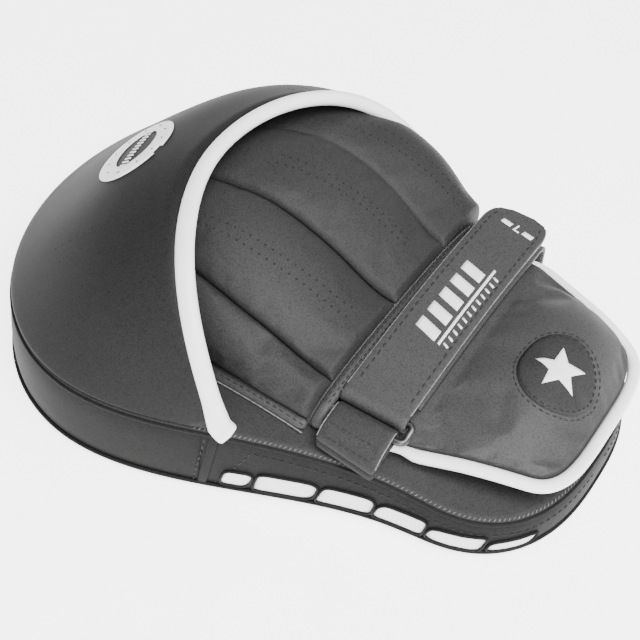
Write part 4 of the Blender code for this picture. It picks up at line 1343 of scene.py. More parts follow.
@dataclass
class SideWall:
    """Gusset round the pad: two leather walls, seam strips and white vents."""

    bulge: float = 1.3
    seam_half: float = 2.3
    seam_slant: float = 6.0
    stitch_drop: float = 8.2
    vents: tuple[tuple[float, float, float, float, float], ...] = (
        (0.048, 0.114, 4.6, 13.2, 0.62),
        (0.122, 0.260, 3.8, 14.2, 0.30),
        (0.268, 0.394, 3.6, 13.7, 0.28),
        (0.402, 0.519, 3.5, 12.8, 0.28),
        (0.527, 0.647, 3.4, 11.4, 0.30),
        (0.655, 0.762, 3.4, 9.0, 0.42),
    )

    def wall_point(self, s: float, t: float, out: float) -> Vector:
        """Point of the padded wall, t from its foot seam to its top seam.

        Args:
            s: Place round the outline.
            t: 0 at the foot seam, 1 at the top seam.
            out: Distance out of the surface.

        Returns:
            The point in millimetres.
        """
        y = PAD.rim(s if abs(s) <= 1.0 else 2.0 - abs(s)).y
        z = mix(1.5, PAD.top(y) - 2.4, t)
        puff = self.bulge * (1.0 - abs(2.0 * t - 1.0) ** 3.0)
        return PAD.wall(s, z, out + puff - 0.6)

    def out_of(self, s: float, z: float) -> float:
        """How far the padded wall stands out at a height.

        Args:
            s: Place round the outline.
            z: Height above the foot of the pad.

        Returns:
            The distance in millimetres.
        """
        y = PAD.rim(s).y
        t = (z - 1.5) / (PAD.top(y) - 3.9)
        return self.bulge * (1.0 - min(1.0, abs(2.0 * t - 1.0)) ** 3.0) - 0.6

    def on_wall(self, s: float, z: float, out: float = 0.0) -> Vector:
        """Point on the padded wall at a height, a distance out of it."""
        return PAD.wall(s, z, self.out_of(s, z) + out)

    def seam_place(self, side: Side, z: float) -> float:
        """Rim place of the slanting seam strip at a height.

        Args:
            side: Which side of the mitt.
            z: Height above the foot of the pad.

        Returns:
            Place round the outline.
        """
        length = PAD.lengths[-1]
        rise = z / PAD.thick
        return side.value * (PAD.param(PAD.seam_y) + self.seam_slant * rise / length)

    def build_walls(self) -> None:
        """Make the finger gusset and the wrist gusset."""
        seam = PAD.param(PAD.seam_y)
        for name, start, stop, cells in (("finger_gusset", -seam, seam, 180),
                                         ("wrist_gusset", seam, 2.0 - seam, 200)):
            mesh = slab(cells, 12, lambda u, v: self.wall_point(mix(start, stop, u), v, 0.0),
                        lambda u, v: self.wall_point(mix(start, stop, u), v, -1.8))
            # The walls take the leather darkened as painted shade.
            join_body(piece(name, mesh, (SHADED_SIDE_LEATHER, LINING)), "mitt", (name,))

    def build_seams(self) -> None:
        """Make the slanting strips that cover the joins, with their stitches."""
        length = PAD.lengths[-1]
        for side in Side:
            name = "gusset_seam_%s" % side.name.lower()

            def strip(u: float, v: float, out: float) -> Vector:
                """Point of the strip, u across and v up.

                Args:
                    u: Fraction across.
                    v: Fraction up.
                    out: Distance out of the surface.

                Returns:
                    The point in millimetres.
                """
                z = mix(0.8, PAD.top(PAD.seam_y) - 1.6, v)
                s = self.seam_place(side, z) + side.value * (2.0 * u - 1.0) * self.seam_half / length
                edge = 1.0 - abs(2.0 * u - 1.0) ** 4.0
                return self.on_wall(s, z, out + 0.9 * edge)

            mesh = slab(8, 16, lambda u, v: strip(u, v, 0.1), lambda u, v: strip(u, v, -1.2))
            join_body(piece(name, mesh, (SHADED_SIDE_LEATHER,), levels=1), "mitt", (name,))
            row = []
            for k in range(13):
                z = mix(2.5, PAD.top(PAD.seam_y) - 3.5, k / 12.0)
                s = self.seam_place(side, z) - side.value * (self.seam_half + 1.3) / length
                row.append((self.on_wall(s, z), PAD.wall_normal(s)))
            join_body(stitch(name + "_stitches", [row], pitch=3.4, length=2.2), "mitt")

    def vent_point(self, side: Side, vent: tuple[float, ...], a: float, b: float, out: float) -> Vector:
        """Point of a vent.

        Args:
            side: Which wall.
            vent: Rim fractions from the seam to the wrist end, heights and corner share.
            a: Place along it, -1 to 1.
            b: Place up it, -1 to 1.
            out: Distance out of the wall.

        Returns:
            The point in millimetres.
        """
        start, stop, low, high = vent[:4]
        z = mix(low, high, 0.5 + 0.5 * b)
        lean = 0.0045 * b
        seam = PAD.param(PAD.seam_y)
        s = mix(seam, 1.0, mix(start, stop, 0.5 + 0.5 * a)) + lean * (1.0 - 0.2 * abs(a))
        return self.on_wall(side.value * s, z, out)

    def vent_outline(self, vent: tuple[float, ...], u: float) -> tuple[float, float]:
        """Rounded outline of a vent, u once round it.

        Args:
            vent: Its row in the table of vents.
            u: Fraction round it.

        Returns:
            Places along and up the vent, -1 to 1.
        """
        angle = 2.0 * math.pi * u
        power = mix(0.34, 1.0, vent[4])
        a = math.copysign(abs(math.cos(angle)) ** (power * 0.55), math.cos(angle))
        b = math.copysign(abs(math.sin(angle)) ** power, math.sin(angle))
        wobble = 1.0 + 0.03 * math.sin(3.0 * angle + 9.0 * vent[0])
        return a * wobble, b * wobble

    def build_vents(self) -> None:
        """Make the white vent plates and the moulded lips round them."""
        for side in Side:
            label = side.name.lower()
            for number, vent in enumerate(self.vents, start=1):

                def plate(u: float, v: float, out: float) -> Vector:
                    """Point of the plate, u round it and v from its middle out.

                    Args:
                        u: Fraction round it.
                        v: 0 in the middle, 1 at its edge.
                        out: Distance out of the surface.

                    Returns:
                        The point in millimetres.
                    """
                    a, b = self.vent_outline(vent, u)
                    crown = 0.35 * (1.0 - v ** 2.0)
                    return self.vent_point(side, vent, a * v, b * v, out + crown)

                name = "vent_%s_%d" % (label, number)
                mesh = slab(56, 5, lambda u, v: plate(u, v, 0.15), lambda u, v: plate(u, v, -0.6))
                bmesh.ops.remove_doubles(mesh, verts=mesh.verts, dist=0.02)
                join_body(piece(name, mesh, (VENT_WHITE,)), "mitt", (name,))
                lip = []
                normals = []
                for k in range(60):
                    a, b = self.vent_outline(vent, k / 60.0)
                    lip.append(self.vent_point(side, vent, a * 1.01, b * 1.04, 0.35))
                    middle = mix(PAD.param(PAD.seam_y), 1.0, 0.5 * (vent[0] + vent[1]))
                    normals.append(PAD.wall_normal(side.value * middle))
                mesh = sweep(lip, 0.55, 0.8, 8, closed=True, normals=normals)
                # The lips take the side leather darkened as painted shade.
                join_body(piece(name + "_lip", mesh, (SHADED_SIDE_LEATHER,)), "mitt")

    def build_stitches(self) -> None:
        """Sew the outline above the vents and the rows along the rim."""
        seam = PAD.param(PAD.seam_y)
        outlines = []
        for side in Side:
            row = []
            begin = mix(seam, 1.0, 0.028)
            for z, push in ((3.0, 0.0), (9.0, 0.012), (16.0, 0.024), (22.0, 0.034)):
                s = side.value * (begin + push)
                row.append((self.on_wall(s, z), PAD.wall_normal(s)))
            for k in range(60):
                s = side.value * mix(begin + 0.038, 0.985, k / 59.0)
                z = PAD.top(PAD.rim(s).y) - self.stitch_drop
                row.append((self.on_wall(s, z), PAD.wall_normal(s)))
            outlines.append(row)
        join_body(stitch("gusset_outline_stitches", outlines, pitch=3.4, length=2.3, thread=0.24),
                  "mitt")
        whips = []
        for side in Side:
            whip = []
            for k in range(120):
                s = side.value * mix(seam - 0.01, 0.99, k / 119.0)
                q = PAD.rim(s, 0.9)
                lean = (PAD.wall_normal(s) + UP).normalized()
                whip.append((Vector((q.x, q.y, PAD.top(q.y) - 1.55)), lean))
            whips.append(whip)
        join_body(stitch("rim_whip_stitches", whips, GREY_THREAD, pitch=2.0, length=1.5, thread=0.2,
                         slant=0.9), "mitt")

    def build(self) -> None:
        """Build the whole side wall."""
        self.build_walls()
        self.build_seams()
        self.build_vents()
        self.build_stitches()


@dataclass
class FingerHood:
    """Stiff padded hood over the fingertips with a white bound edge and badge."""

    binding_half: float = 4.1
    binding_high: float = 3.3
    flare: float = 0.45
    puff: float = 4.6
    binding_lift: float = 2.0
    badge: tuple[float, float] = (-13.0, 89.5)
    badge_long: float = 24.0
    badge_short: float = 14.0
    badge_hole: tuple[float, float] = (0.62, 0.5)
    badge_turn: float = 15.5

    def skin_point(self, u: float, v: float, inside: bool) -> Vector:
        """Point of the hood's outer or inner surface.

        Args:
            u: Fraction across.
            v: 0 at the binding, 1 at the rim.
            inside: Whether it is the inner surface.

        Returns:
            The point in millimetres.
        """
        s = 2.0 * u - 1.0
        v = 1.0 - (1.0 - v) ** 1.3
        point = HOOD.point(s, v)
        step = 0.004
        across = HOOD.point(min(s + step, 1.0), v) - HOOD.point(max(s - step, -1.0), v)
        along = HOOD.point(s, min(v + step, 1.0)) - HOOD.point(s, max(v - step, 0.0))
        normal = across.cross(along).normalized()
        if normal.z < 0.0:
            normal = -normal
        ripple = 0.35 * math.sin(0.09 * point.x + 1.3) * math.sin(0.075 * point.y)
        if inside:
            point = point - normal * HOOD.thick
            point.z = max(point.z, PAD.top(point.y) + 0.3)
        else:
            along = (0.45 * smooth(v / 0.06) + 0.55 * smooth(v / 0.4)) * smooth((1.0 - v) / 0.6)
            crown = self.puff * along * smooth((1.0 - abs(s)) / 0.6)
            point = point + normal * (ripple * (1.0 - v) * v * 4.0 + crown)
            point.z = max(point.z, PAD.top(point.y) - 1.2 + 1.5 * (1.0 - v))
        return point

    def build_shell(self) -> bpy.types.Object:
        """Make the padded shell with its cloth lining.

        Returns:
            The shell.
        """
        mesh = slab(110, 40, lambda u, v: self.skin_point(u, v, False),
                    lambda u, v: self.skin_point(u, v, True))
        # The hood takes the leather darkened as painted shade.
        obj = piece("finger_hood", mesh, (SHADED_HOOD_LEATHER, LINING))
        return join_body(obj, "mitt", ("finger_hood",))

    def build_binding(self) -> None:
        """Fold the white binding over the opening edge, down to the rim seam."""
        path = []
        normals = []
        count = 96
        for k in range(count + 1):
            s = 2.0 * k / count - 1.0
            s = math.copysign(1.0 - (1.0 - abs(s)) ** 1.15, s)
            edge = HOOD.edge(s, HOOD.binding)
            near, far = max(s - 0.01, -1.0), min(s + 0.01, 1.0)
            along = HOOD.edge(far, HOOD.binding) - HOOD.edge(near, HOOD.binding)
            inside = HOOD.edge(s, HOOD.binding + 1.0) - edge
            normal = along.cross(inside).normalized()
            outward = along.cross(normal).normalized()
            point = edge + outward * (self.binding_half - 0.2) - normal * 0.45 * HOOD.thick
            point.z += self.binding_lift * smooth((s + 0.75) / 0.6) * smooth((1.0 - s) / 0.5)
            point.z = max(point.z, PAD.top(point.y) + 0.6)
            path.append(point)
            normals.append(normal)
        for end, s in ((0, -1.0), (-1, 1.0)):
            last = path[end]
            rim = PAD.rim(math.copysign(PAD.param(last.y - 3.5), s), 0.8)
            foot = Vector((rim.x, rim.y, PAD.top(rim.y) - 1.6))
            foot.y -= 2.4
            steps = [last.lerp(foot, 0.5), foot]
            out = PAD.wall_normal(math.copysign(PAD.param(last.y), s))
            leans = [(normals[end] + out * 0.4).normalized(), (normals[end] + out).normalized()]
            if end == 0:
                path = steps[::-1] + path
                normals = leans[::-1] + normals
            else:
                path = path + steps
                normals = normals + leans
        mesh = sweep(path, self.binding_half, self.binding_high, 16, normals=normals, flare=self.flare,
                     profile=lambda t: mix(1.0, 0.74, smooth((t - 0.25) / 0.3)))
        join_body(piece("hood_piping", mesh, (PIPING,), levels=1), "mitt", ("hood_piping",))

    def build_breathers(self, skin: Skin) -> None:
        """Punch the faint breather rows.

        Args:
            skin: Surface that the trim lies on.
        """
        rows = []
        for turn in (-0.46, -0.41, 0.41, 0.46):
            line = []
            for k in range(24):
                x, y = self.breather_place(turn, k / 23.0)
                line.append(skin.meet(Vector((x, y, HOOD.height(x, y))), DOWN))
            rows.append(line)
        join_body(punch("hood_perforations", rows, 4.2, 0.36), "mitt")

    def breather_place(self, turn: float, t: float) -> tuple[float, float]:
        """Plan point of a breather row across the hood."""
        p = HOOD.point(turn, mix(0.14, 0.72, t))
        return p.x, p.y

    def build_badge(self, skin: Skin) -> None:
        """Plain oval ring with dots on the crown of the hood.

        Args:
            skin: Surface that the trim lies on.
        """
        x, y = self.badge
        centre = Vector((x, y, HOOD.height(x, y)))
        right, ahead = turned_axes(self.badge_turn)
        mesh = bmesh.new()
        loops = []
        for t in (0.0, 0.25, 0.5, 0.75, 1.0):
            wide, high = (mix(1.0, hole, t) for hole in self.badge_hole)
            place = Matrix.Diagonal((self.badge_long * wide, self.badge_short * high, 1.0, 1.0))
            loops.append(add_ring(mesh, 84, place))
        bridge(mesh, loops)
        for k in range(-6, 6):
            left = 2.6 * k + 0.4
            slant_bar(mesh, left, 1.0, (-1.5, 1.5), 0.9, 1.0)
        raise_flat(mesh, 0.3)
        wrap(mesh, skin, centre, right, ahead, 0.3)
        join_body(piece("hood_badge", mesh, (PRINT,)), "mitt", ("hood_badge",))
        line = []
        for k in range(65):
            angle = 2.0 * math.pi * k / 64.0
            wide, high = (mix(1.0, hole, 0.5) for hole in self.badge_hole)
            spot = (centre + right * self.badge_long * wide * math.cos(angle)
                    + ahead * self.badge_short * high * math.sin(angle))
            place, normal = skin.meet(spot, DOWN)
            line.append((place + normal * 0.35, normal))
        marks = stitch("hood_badge_marks", [line], THREAD, pitch=9.4, length=2.0, thread=0.42, slant=0.6)
        join_body(marks, "mitt")

    def build(self) -> None:
        """Build the whole hood."""
        shell = self.build_shell()
        self.build_binding()
        skin = Skin(shell)
        self.build_breathers(skin)
        self.build_badge(skin)


@dataclass
class HandPanel:
    """Arched panel over the back of the hand: lining, stuffed channels and bindings."""

    gap: float = 3.9
    seam_thick: float = 1.7
    pillow: float = 5.8
    thumb_swell: float = 7.5
    first_v: float = 0.004
    pressure: float = 3.0
    puff_cap: float = 1.2
    spare: float = 0.006
    hole_rows: dict[int, tuple[float, float, float, float, float]] = field(default_factory=lambda: {
        0: (0.53, 0.80, 0.10, 0.13, 0.80),
        1: (0.46, 0.61, 0.09, 0.145, 0.72),
        2: (0.28, 0.45, 0.10, 0.125, 0.78),
    })

    def channel_point(self, index: int, t: float, v: float, high: float) -> Vector:
        """Point of a channel, t across it and v from the wrist edge.

        Args:
            index: Number of the channel, from the thumb side.
            t: Fraction across.
            v: Fraction along.
            high: Distance out of the panel.

        Returns:
            The point in millimetres.
        """
        start = PANEL.seam(index, v) + (PANEL.foot_margin if index == 0 else 0.0008)
        stop = PANEL.seam(index + 1, v) - (PANEL.foot_margin if index == 3 else 0.0008)
        return PANEL.offset(mix(start, stop, t), v, high)

    def pillow_top(self, t: float, v: float) -> float:
        """Height of a stuffed channel before it is blown up.

        Args:
            t: Fraction across the channel.
            v: Fraction along.

        Returns:
            Distance out of the panel.
        """
        across = (4.0 * t * (1.0 - t)) ** 0.34
        ends = smooth((v + 0.006) / 0.045) * smooth((1.0 - v) / 0.05)
        return self.gap + mix(self.seam_thick, self.pillow, across * ends)

    def swell(self, index: int, t: float, v: float) -> float:
        """Extra stuffing of the outer channel beside the thumb.

        Args:
            index: Number of the channel, from the thumb side.
            t: Fraction across the channel.
            v: Fraction along.

        Returns:
            The extra height.
        """
        if index:
            return 0.0
        along = mix(0.6, 1.0, smooth(v / 0.5))
        return self.thumb_swell * smooth(t / 0.3) * smooth((1.0 - t) / 0.65) * along

    def build_lining(self) -> None:
        """Make the cloth lining against the hand."""
        mesh = slab(84, 26, lambda u, v: PANEL.offset(u, v, PANEL.lining + 0.6),
                    lambda u, v: PANEL.offset(u, v, 0.0))
        obj = piece("panel_lining", mesh, (LINING, LINING))
        join_body(obj, "mitt", ("panel_lining",))

    def build_channels(self) -> list[bpy.types.Object]:
        """Stuff the four channels.

        Returns:
            The finished channels.
        """
        made = []
        rng = random.Random(7)
        for index, name in enumerate(("channel_index", "channel_middle", "channel_ring",
                                      "channel_little")):

            def upper(t: float, v: float) -> Vector:
                """Top of the stuffing.

                Args:
                    t: Fraction of the way.
                    v: Fraction along.

                Returns:
                    The point in millimetres.
                """
                v = mix(self.first_v, 1.0, v)
                high = self.pillow_top(t, v) + self.swell(index, t, v)
                return self.channel_point(index, t, v, high + rng.uniform(-0.05, 0.05))

            def lower(t: float, v: float) -> Vector:
                """Side against the lining."""
                return self.channel_point(index, t, mix(self.first_v, 1.0, v), self.gap)

            mesh = slab(30, 64, upper, lower)
            pinned = sorted(sewn_verts(mesh)[1])
            obj = piece(name, mesh, (LEATHER, LINING))
            inflate(obj, pinned, self.pressure, self.puff_cap, self.spare)
            round_off(obj)
            made.append(join_body(obj, "mitt", (name,)))
        return made

    def build_perforations(self, skin: Skin) -> None:
        """Punch the double rows of breather holes.

        Args:
            skin: Surface that the trim lies on.
        """
        rows = []
        for index, (low, high, apart, first, last) in self.hole_rows.items():
            for shift in (0.0, apart):
                line = []
                for k in range(33):
                    v = mix(first, last, k / 32.0) - 0.5 * shift * 0.16
                    t = mix(low, high, (k / 32.0) ** 0.8) + shift
                    u = mix(PANEL.seam(index, v), PANEL.seam(index + 1, v), t)
                    line.append(skin.meet(PANEL.offset(u, v, 9.0), -PANEL.normal(u, v)))
                rows.append(line)
        join_body(punch("panel_perforations", rows, 3.55, 0.52), "mitt")

    def build_bindings(self) -> None:
        """Bind the wrist edge and the two feet."""
        margin = PANEL.foot_margin
        path = []
        normals = []
        for k in range(91):
            u = mix(margin * 0.4, 1.0 - margin * 0.4, k / 90.0)
            path.append(PANEL.offset(u, 0.0, 3.6) + Vector((0.0, -2.5, -0.4)))
            normals.append(PANEL.normal(u, 0.0))
        mesh = sweep(path, 2.7, 1.7, 12, normals=normals)
        obj = piece("panel_wrist_binding", mesh, (LIT_STRAP_LEATHER,), levels=1)
        join_body(obj, "mitt", ("panel_wrist_binding",))
        rows = []
        for shift in (-1.4, -3.2):
            row = []
            for k in range(91):
                u = mix(0.05, 0.88, k / 90.0)
                normal = PANEL.normal(u, 0.0)
                row.append((PANEL.offset(u, 0.0, 5.2) + Vector((0.0, shift, -0.4)), normal))
            rows.append(row)
        join_body(stitch("panel_wrist_stitches", rows, pitch=3.2, length=2.1, thread=0.24), "mitt")
        for side in Side:
            label = side.name.lower()
            path = []
            row = []
            normals = []
            for k in range(41):
                v = mix(-0.012, 1.0, k / 40.0)
                base = PANEL.base(0.0 if side is Side.FAR else 1.0, max(v, 0.0))
                x = base.x + side.value * (PANEL.lining + 3.0)
                z = PAD.top(base.y) + 1.7
                normal = Vector((0.45 * side.value, 0.0, 1.0)).normalized()
                path.append(Vector((x, base.y, z)))
                normals.append(normal)
                row.append((Vector((x + side.value * 0.6, base.y, z)) + normal * 1.55, normal))
            mesh = sweep(path, 3.1, 1.75, 12, normals=normals, taper=0.03)
            name = "panel_foot_%s" % label
            join_body(piece(name, mesh, (LIT_STRAP_LEATHER,), levels=1), "mitt", (name,))
            join_body(stitch(name + "_stitches", [row], pitch=3.2, length=2.1, thread=0.24), "mitt")
            # Light cord along the foot's cut edge: edge paint with painted highlight.
            edge = [p + Vector((3.2 * side.value, 0.0, -0.9)) for p in path]
            join_body(piece(name + "_cut_edge", sweep(edge, 0.32, 0.45, 6), (EDGE_PAINT_AND_HIGHLIGHT,)), "mitt")

    def build(self) -> None:
        """Build the whole panel."""
        self.build_lining()
        channels = self.build_channels()
        self.build_perforations(Skin(*channels))
        self.build_bindings()


@dataclass
class HandHold:
    """Padded grip and thumb loop inside the hand space."""

    grip_y: tuple[float, float] = (6.0, 28.0)
    grip_x: tuple[float, float] = (-38.0, 46.0)
    grip_high: float = 10.0
    loop_x: tuple[float, float] = (40.0, 68.0)
    loop_y: tuple[float, float] = (-17.0, 1.0)
    loop_high: float = 11.0
    loop_thick: float = 1.6

    def build_grip(self) -> None:
        """Make the padded bar that the fingers hold."""

        def upper(u: float, v: float) -> Vector:
            """Top of the bar.

            Args:
                u: Fraction across.
                v: Fraction along.

            Returns:
                The point in millimetres.
            """
            y = mix(*self.grip_y, 0.5 - 0.5 * math.cos(math.pi * v))
            lift = self.grip_high * math.sin(math.pi * v) * (1.0 - abs(2.0 * u - 1.0) ** 4.0)
            return Vector((mix(*self.grip_x, u), y, PAD.top(y) + 1.1 + lift))

        def lower(u: float, v: float) -> Vector:
            """Base of the bar."""
            y = mix(*self.grip_y, 0.5 - 0.5 * math.cos(math.pi * v))
            return Vector((mix(*self.grip_x, u), y, PAD.top(y) + 0.3))

        obj = piece("palm_grip", slab(40, 20, upper, lower), (LEATHER, LINING), levels=1)
        join_body(obj, "mitt", ("palm_grip",))

    def loop_point(self, u: float, v: float) -> Vector:
        """Outer face of the thumb loop.

        Args:
            u: Fraction across.
            v: Fraction along.

        Returns:
            The point in millimetres.
        """
        angle = math.pi * u
        x = mix(*self.loop_x, 0.5 - 0.5 * math.cos(angle))
        floor = PAD.top(self.loop_y[1]) + 0.3 + self.loop_thick
        return Vector((x, mix(*self.loop_y, v), floor + self.loop_high * math.sin(angle) ** 0.7))

    def build_loop(self) -> None:
        """Make the thumb loop with a row of stitches on each side."""
        mesh = sheet(32, 6, self.loop_point)
        bmesh.ops.recalc_face_normals(mesh, faces=mesh.faces)
        middle = min(mesh.faces, key=lambda face: abs(face.calc_center_median().x - 54.0))
        if middle.normal.z < 0.0:
            bmesh.ops.reverse_faces(mesh, faces=mesh.faces)
        obj = piece("thumb_loop", mesh, (LIT_STRAP_LEATHER,), thickness=self.loop_thick)
        join_body(obj, "mitt", ("thumb_loop",))
        rows = []
        for v in (0.1, 0.9):
            row = []
            for k in range(3, 30):
                a, b = self.loop_point(k / 32.0, v), self.loop_point((k + 1) / 32.0, v)
                along = (b - a).normalized()
                row.append((a, along.cross(Vector((0.0, 1.0, 0.0))) * -1.0))
            rows.append(row)
        join_body(stitch("thumb_loop_stitches", rows, pitch=3.0, length=2.0, thread=0.24), "mitt")

    def build(self) -> None:
        """Build the grip and the loop."""
        self.build_grip()
        self.build_loop()


@dataclass
class WristCuff:
    """Padded wrist piece with its piping, round patch and star."""

    start_k: float = -0.55
    cord: float = 2.7
    cord_slim: float = 1.9
    patch: tuple[float, float] = (3.0, -109.0)
    patch_wide: float = 19.6
    patch_long: float = 17.6
    patch_share: float = 0.93
    star_outer: float = 10.5
    star_inner: float = 4.6
    held_y: float = -76.0
    cord_change_y: float = -71.0
    pressure: float = 1.6
    puff_cap: float = 1.2
    spare: float = 0.012
    hinge_start: tuple[float, float, float] = (0.0, -0.067, 0.045)
    hinge_end: tuple[float, float, float] = (0.0, -0.085, 0.045)

    def across(self, u: float) -> float:
        """Place across for an even fraction, closer together at the edges."""
        return math.sin(0.5 * math.pi * (2.0 * u - 1.0))

    def build_pad(self) -> bpy.types.Object:
        """Stuff the wrist piece, from under the panel to the end of the cuff.

        Returns:
            The wrist piece.
        """

        def upper(u: float, v: float) -> Vector:
            """Leather side."""
            return WRIST.point(self.across(u), mix(self.start_k, 1.0, v))

        def lower(u: float, v: float) -> Vector:
            """Side against the wrist.

            Args:
                u: Fraction across.
                v: Fraction along.

            Returns:
                The point in millimetres.
            """
            s, k = self.across(u), mix(self.start_k, 1.0, v)
            point = WRIST.point(s, k)
            low = point.z - WRIST.thickness(s, k)
            return Vector((point.x, point.y, max(low, PAD.top(point.y) + 0.4)))

        mesh = slab(60, 64, upper, lower)
        half, pinned = sewn_verts(mesh)
        held = {vert.index for vert in mesh.verts if vert.index < half and vert.co.y > self.held_y}
        # The cuff takes the leather lightened as painted light.
        obj = piece("wrist_pad", mesh, (LIT_STRAP_LEATHER, LINING))
        inflate(obj, sorted(pinned | held), self.pressure, self.puff_cap, self.spare)
        round_off(obj)
        settle(obj)
        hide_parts("wrist_bridge", "cuff_shell", "cuff_foam", "cuff_lining")
        return obj

    def edge_path(self) -> tuple[list[Vector], list[float]]:
        """Path of the piping with its thickness share at each point.

        Returns:
            The points, and the share of the full thickness at each.
        """
        outline = []
        for k in range(26):
            outline.append(WRIST.point(-1.0, mix(self.start_k + 0.03, 0.93, k / 26.0)))
        for i in range(61):
            outline.append(WRIST.point(self.across(i / 60.0), 1.0))
        for k in range(25, -1, -1):
            outline.append(WRIST.point(1.0, mix(self.start_k + 0.03, 0.93, k / 26.0)))
        path = []
        sizes = []
        count = len(outline)
        for k, point in enumerate(outline):
            along = outline[min(k + 1, count - 1)] - outline[max(k - 1, 0)]
            outward = Vector((along.y, -along.x, 0.0)).normalized()
            change = smooth((self.cord_change_y - point.y) / 8.0)
            size = mix(self.cord_slim, self.cord, change)
            drop = mix(0.5 * WRIST.bridge_thick, 3.0, change)
            place = point + outward * (size + 0.1) - UP * drop
            place.z = max(place.z, PAD.top(place.y) + size + 0.3)
            path.append(place)
            sizes.append(size / self.cord)
        return path, sizes

    def build_piping(self) -> bpy.types.Object:
        """Run one white piping round the free edge of the wrist piece.

        Returns:
            The piping.
        """
        path, sizes = self.edge_path()
        mesh = bmesh.new()
        loops = []
        last = len(path) - 1
        for k, (point, size) in enumerate(zip(path, sizes)):
            along = path[min(k + 1, last)] - path[max(k - 1, 0)]
            size *= self.cord
            loops.append(add_ring(mesh, 14, frame_at(point, along, UP, (size, size, 1.0)),
                                  k in (0, last)))
        bridge(mesh, loops)
        obj = piece("cuff_piping", mesh, (PIPING,))
        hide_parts("cuff_piping", "bridge_piping_near", "bridge_piping_far")
        return obj

    def patch_route(self, share: float, skin: Skin) -> Route:
        """Oval route on the cuff, at a share of the patch's size.

        Args:
            share: Share of the patch's size.
            skin: Surface that the trim lies on.

        Returns:
            The route.
        """
        route = []
        for k in range(73):
            angle = 2.0 * math.pi * k / 72.0
            x = self.patch[0] + self.patch_wide * share * math.cos(angle)
            y = self.patch[1] + self.patch_long * share * math.sin(angle)
            route.append(skin.meet(Vector((x, y, WRIST.surface(x, y))), DOWN))
        return route

    def build_patch(self, skin: Skin) -> None:
        """Make the round patch, its two rows of stitches and the star.

        Args:
            skin: Surface that the trim lies on.
        """
        x, y = self.patch
        centre = Vector((x, y, WRIST.surface(x, y)))
        right, ahead = turned_axes(0.0)
        mesh = sheet(72, 9, lambda u, v: Vector((
            self.patch_wide * self.patch_share * v * math.cos(2.0 * math.pi * u),
            self.patch_long * self.patch_share * v * math.sin(2.0 * math.pi * u), 0.0)))
        bmesh.ops.remove_doubles(mesh, verts=mesh.verts, dist=0.02)
        raise_flat(mesh, 0.75)
        for vert in mesh.verts:
            reach = math.hypot(vert.co.x / self.patch_wide, vert.co.y / self.patch_long)
            reach /= self.patch_share
            if vert.co.z > 0.4:
                vert.co.z -= 0.45 * smooth((reach - 0.86) / 0.14)
        wrap(mesh, skin, centre, right, ahead, 0.02)
        join_body(piece("cuff_patch", mesh, (LEATHER,)), "cuff", ("cuff_patch",))
        rings = [self.patch_route(1.0, skin), self.patch_route(0.86, skin)]
        rings[1] = [(p + n * 0.62, n) for p, n in rings[1]]
        join_body(stitch("cuff_patch_stitches", rings, pitch=3.0, length=2.0, thread=0.28), "cuff")
        star = bmesh.new()
        rays = []
        for k in range(10):
            angle = math.radians(36.0 * k - 52.0)
            reach = self.star_inner if k % 2 else self.star_outer
            rays.append(star.verts.new((reach * math.cos(angle), reach * math.sin(angle), 0.0)))
        bmesh.ops.contextual_create(star, geom=rays)
        bmesh.ops.triangulate(star, faces=star.faces[:])
        bmesh.ops.subdivide_edges(star, edges=star.edges[:], cuts=3, use_grid_fill=True)
        raise_flat(star, 0.28)
        wrap(star, skin, centre, right, ahead, 0.78)
        join_body(piece("cuff_emblem", star, (PRINT,)), "cuff", ("cuff_emblem",))

    def build(self) -> None:
        """Build the whole cuff."""
        pad = self.build_pad()
        piping = self.build_piping()
        skin = Skin(pad)
        self.build_patch(skin)
        for obj in (pad, piping):
            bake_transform(obj)


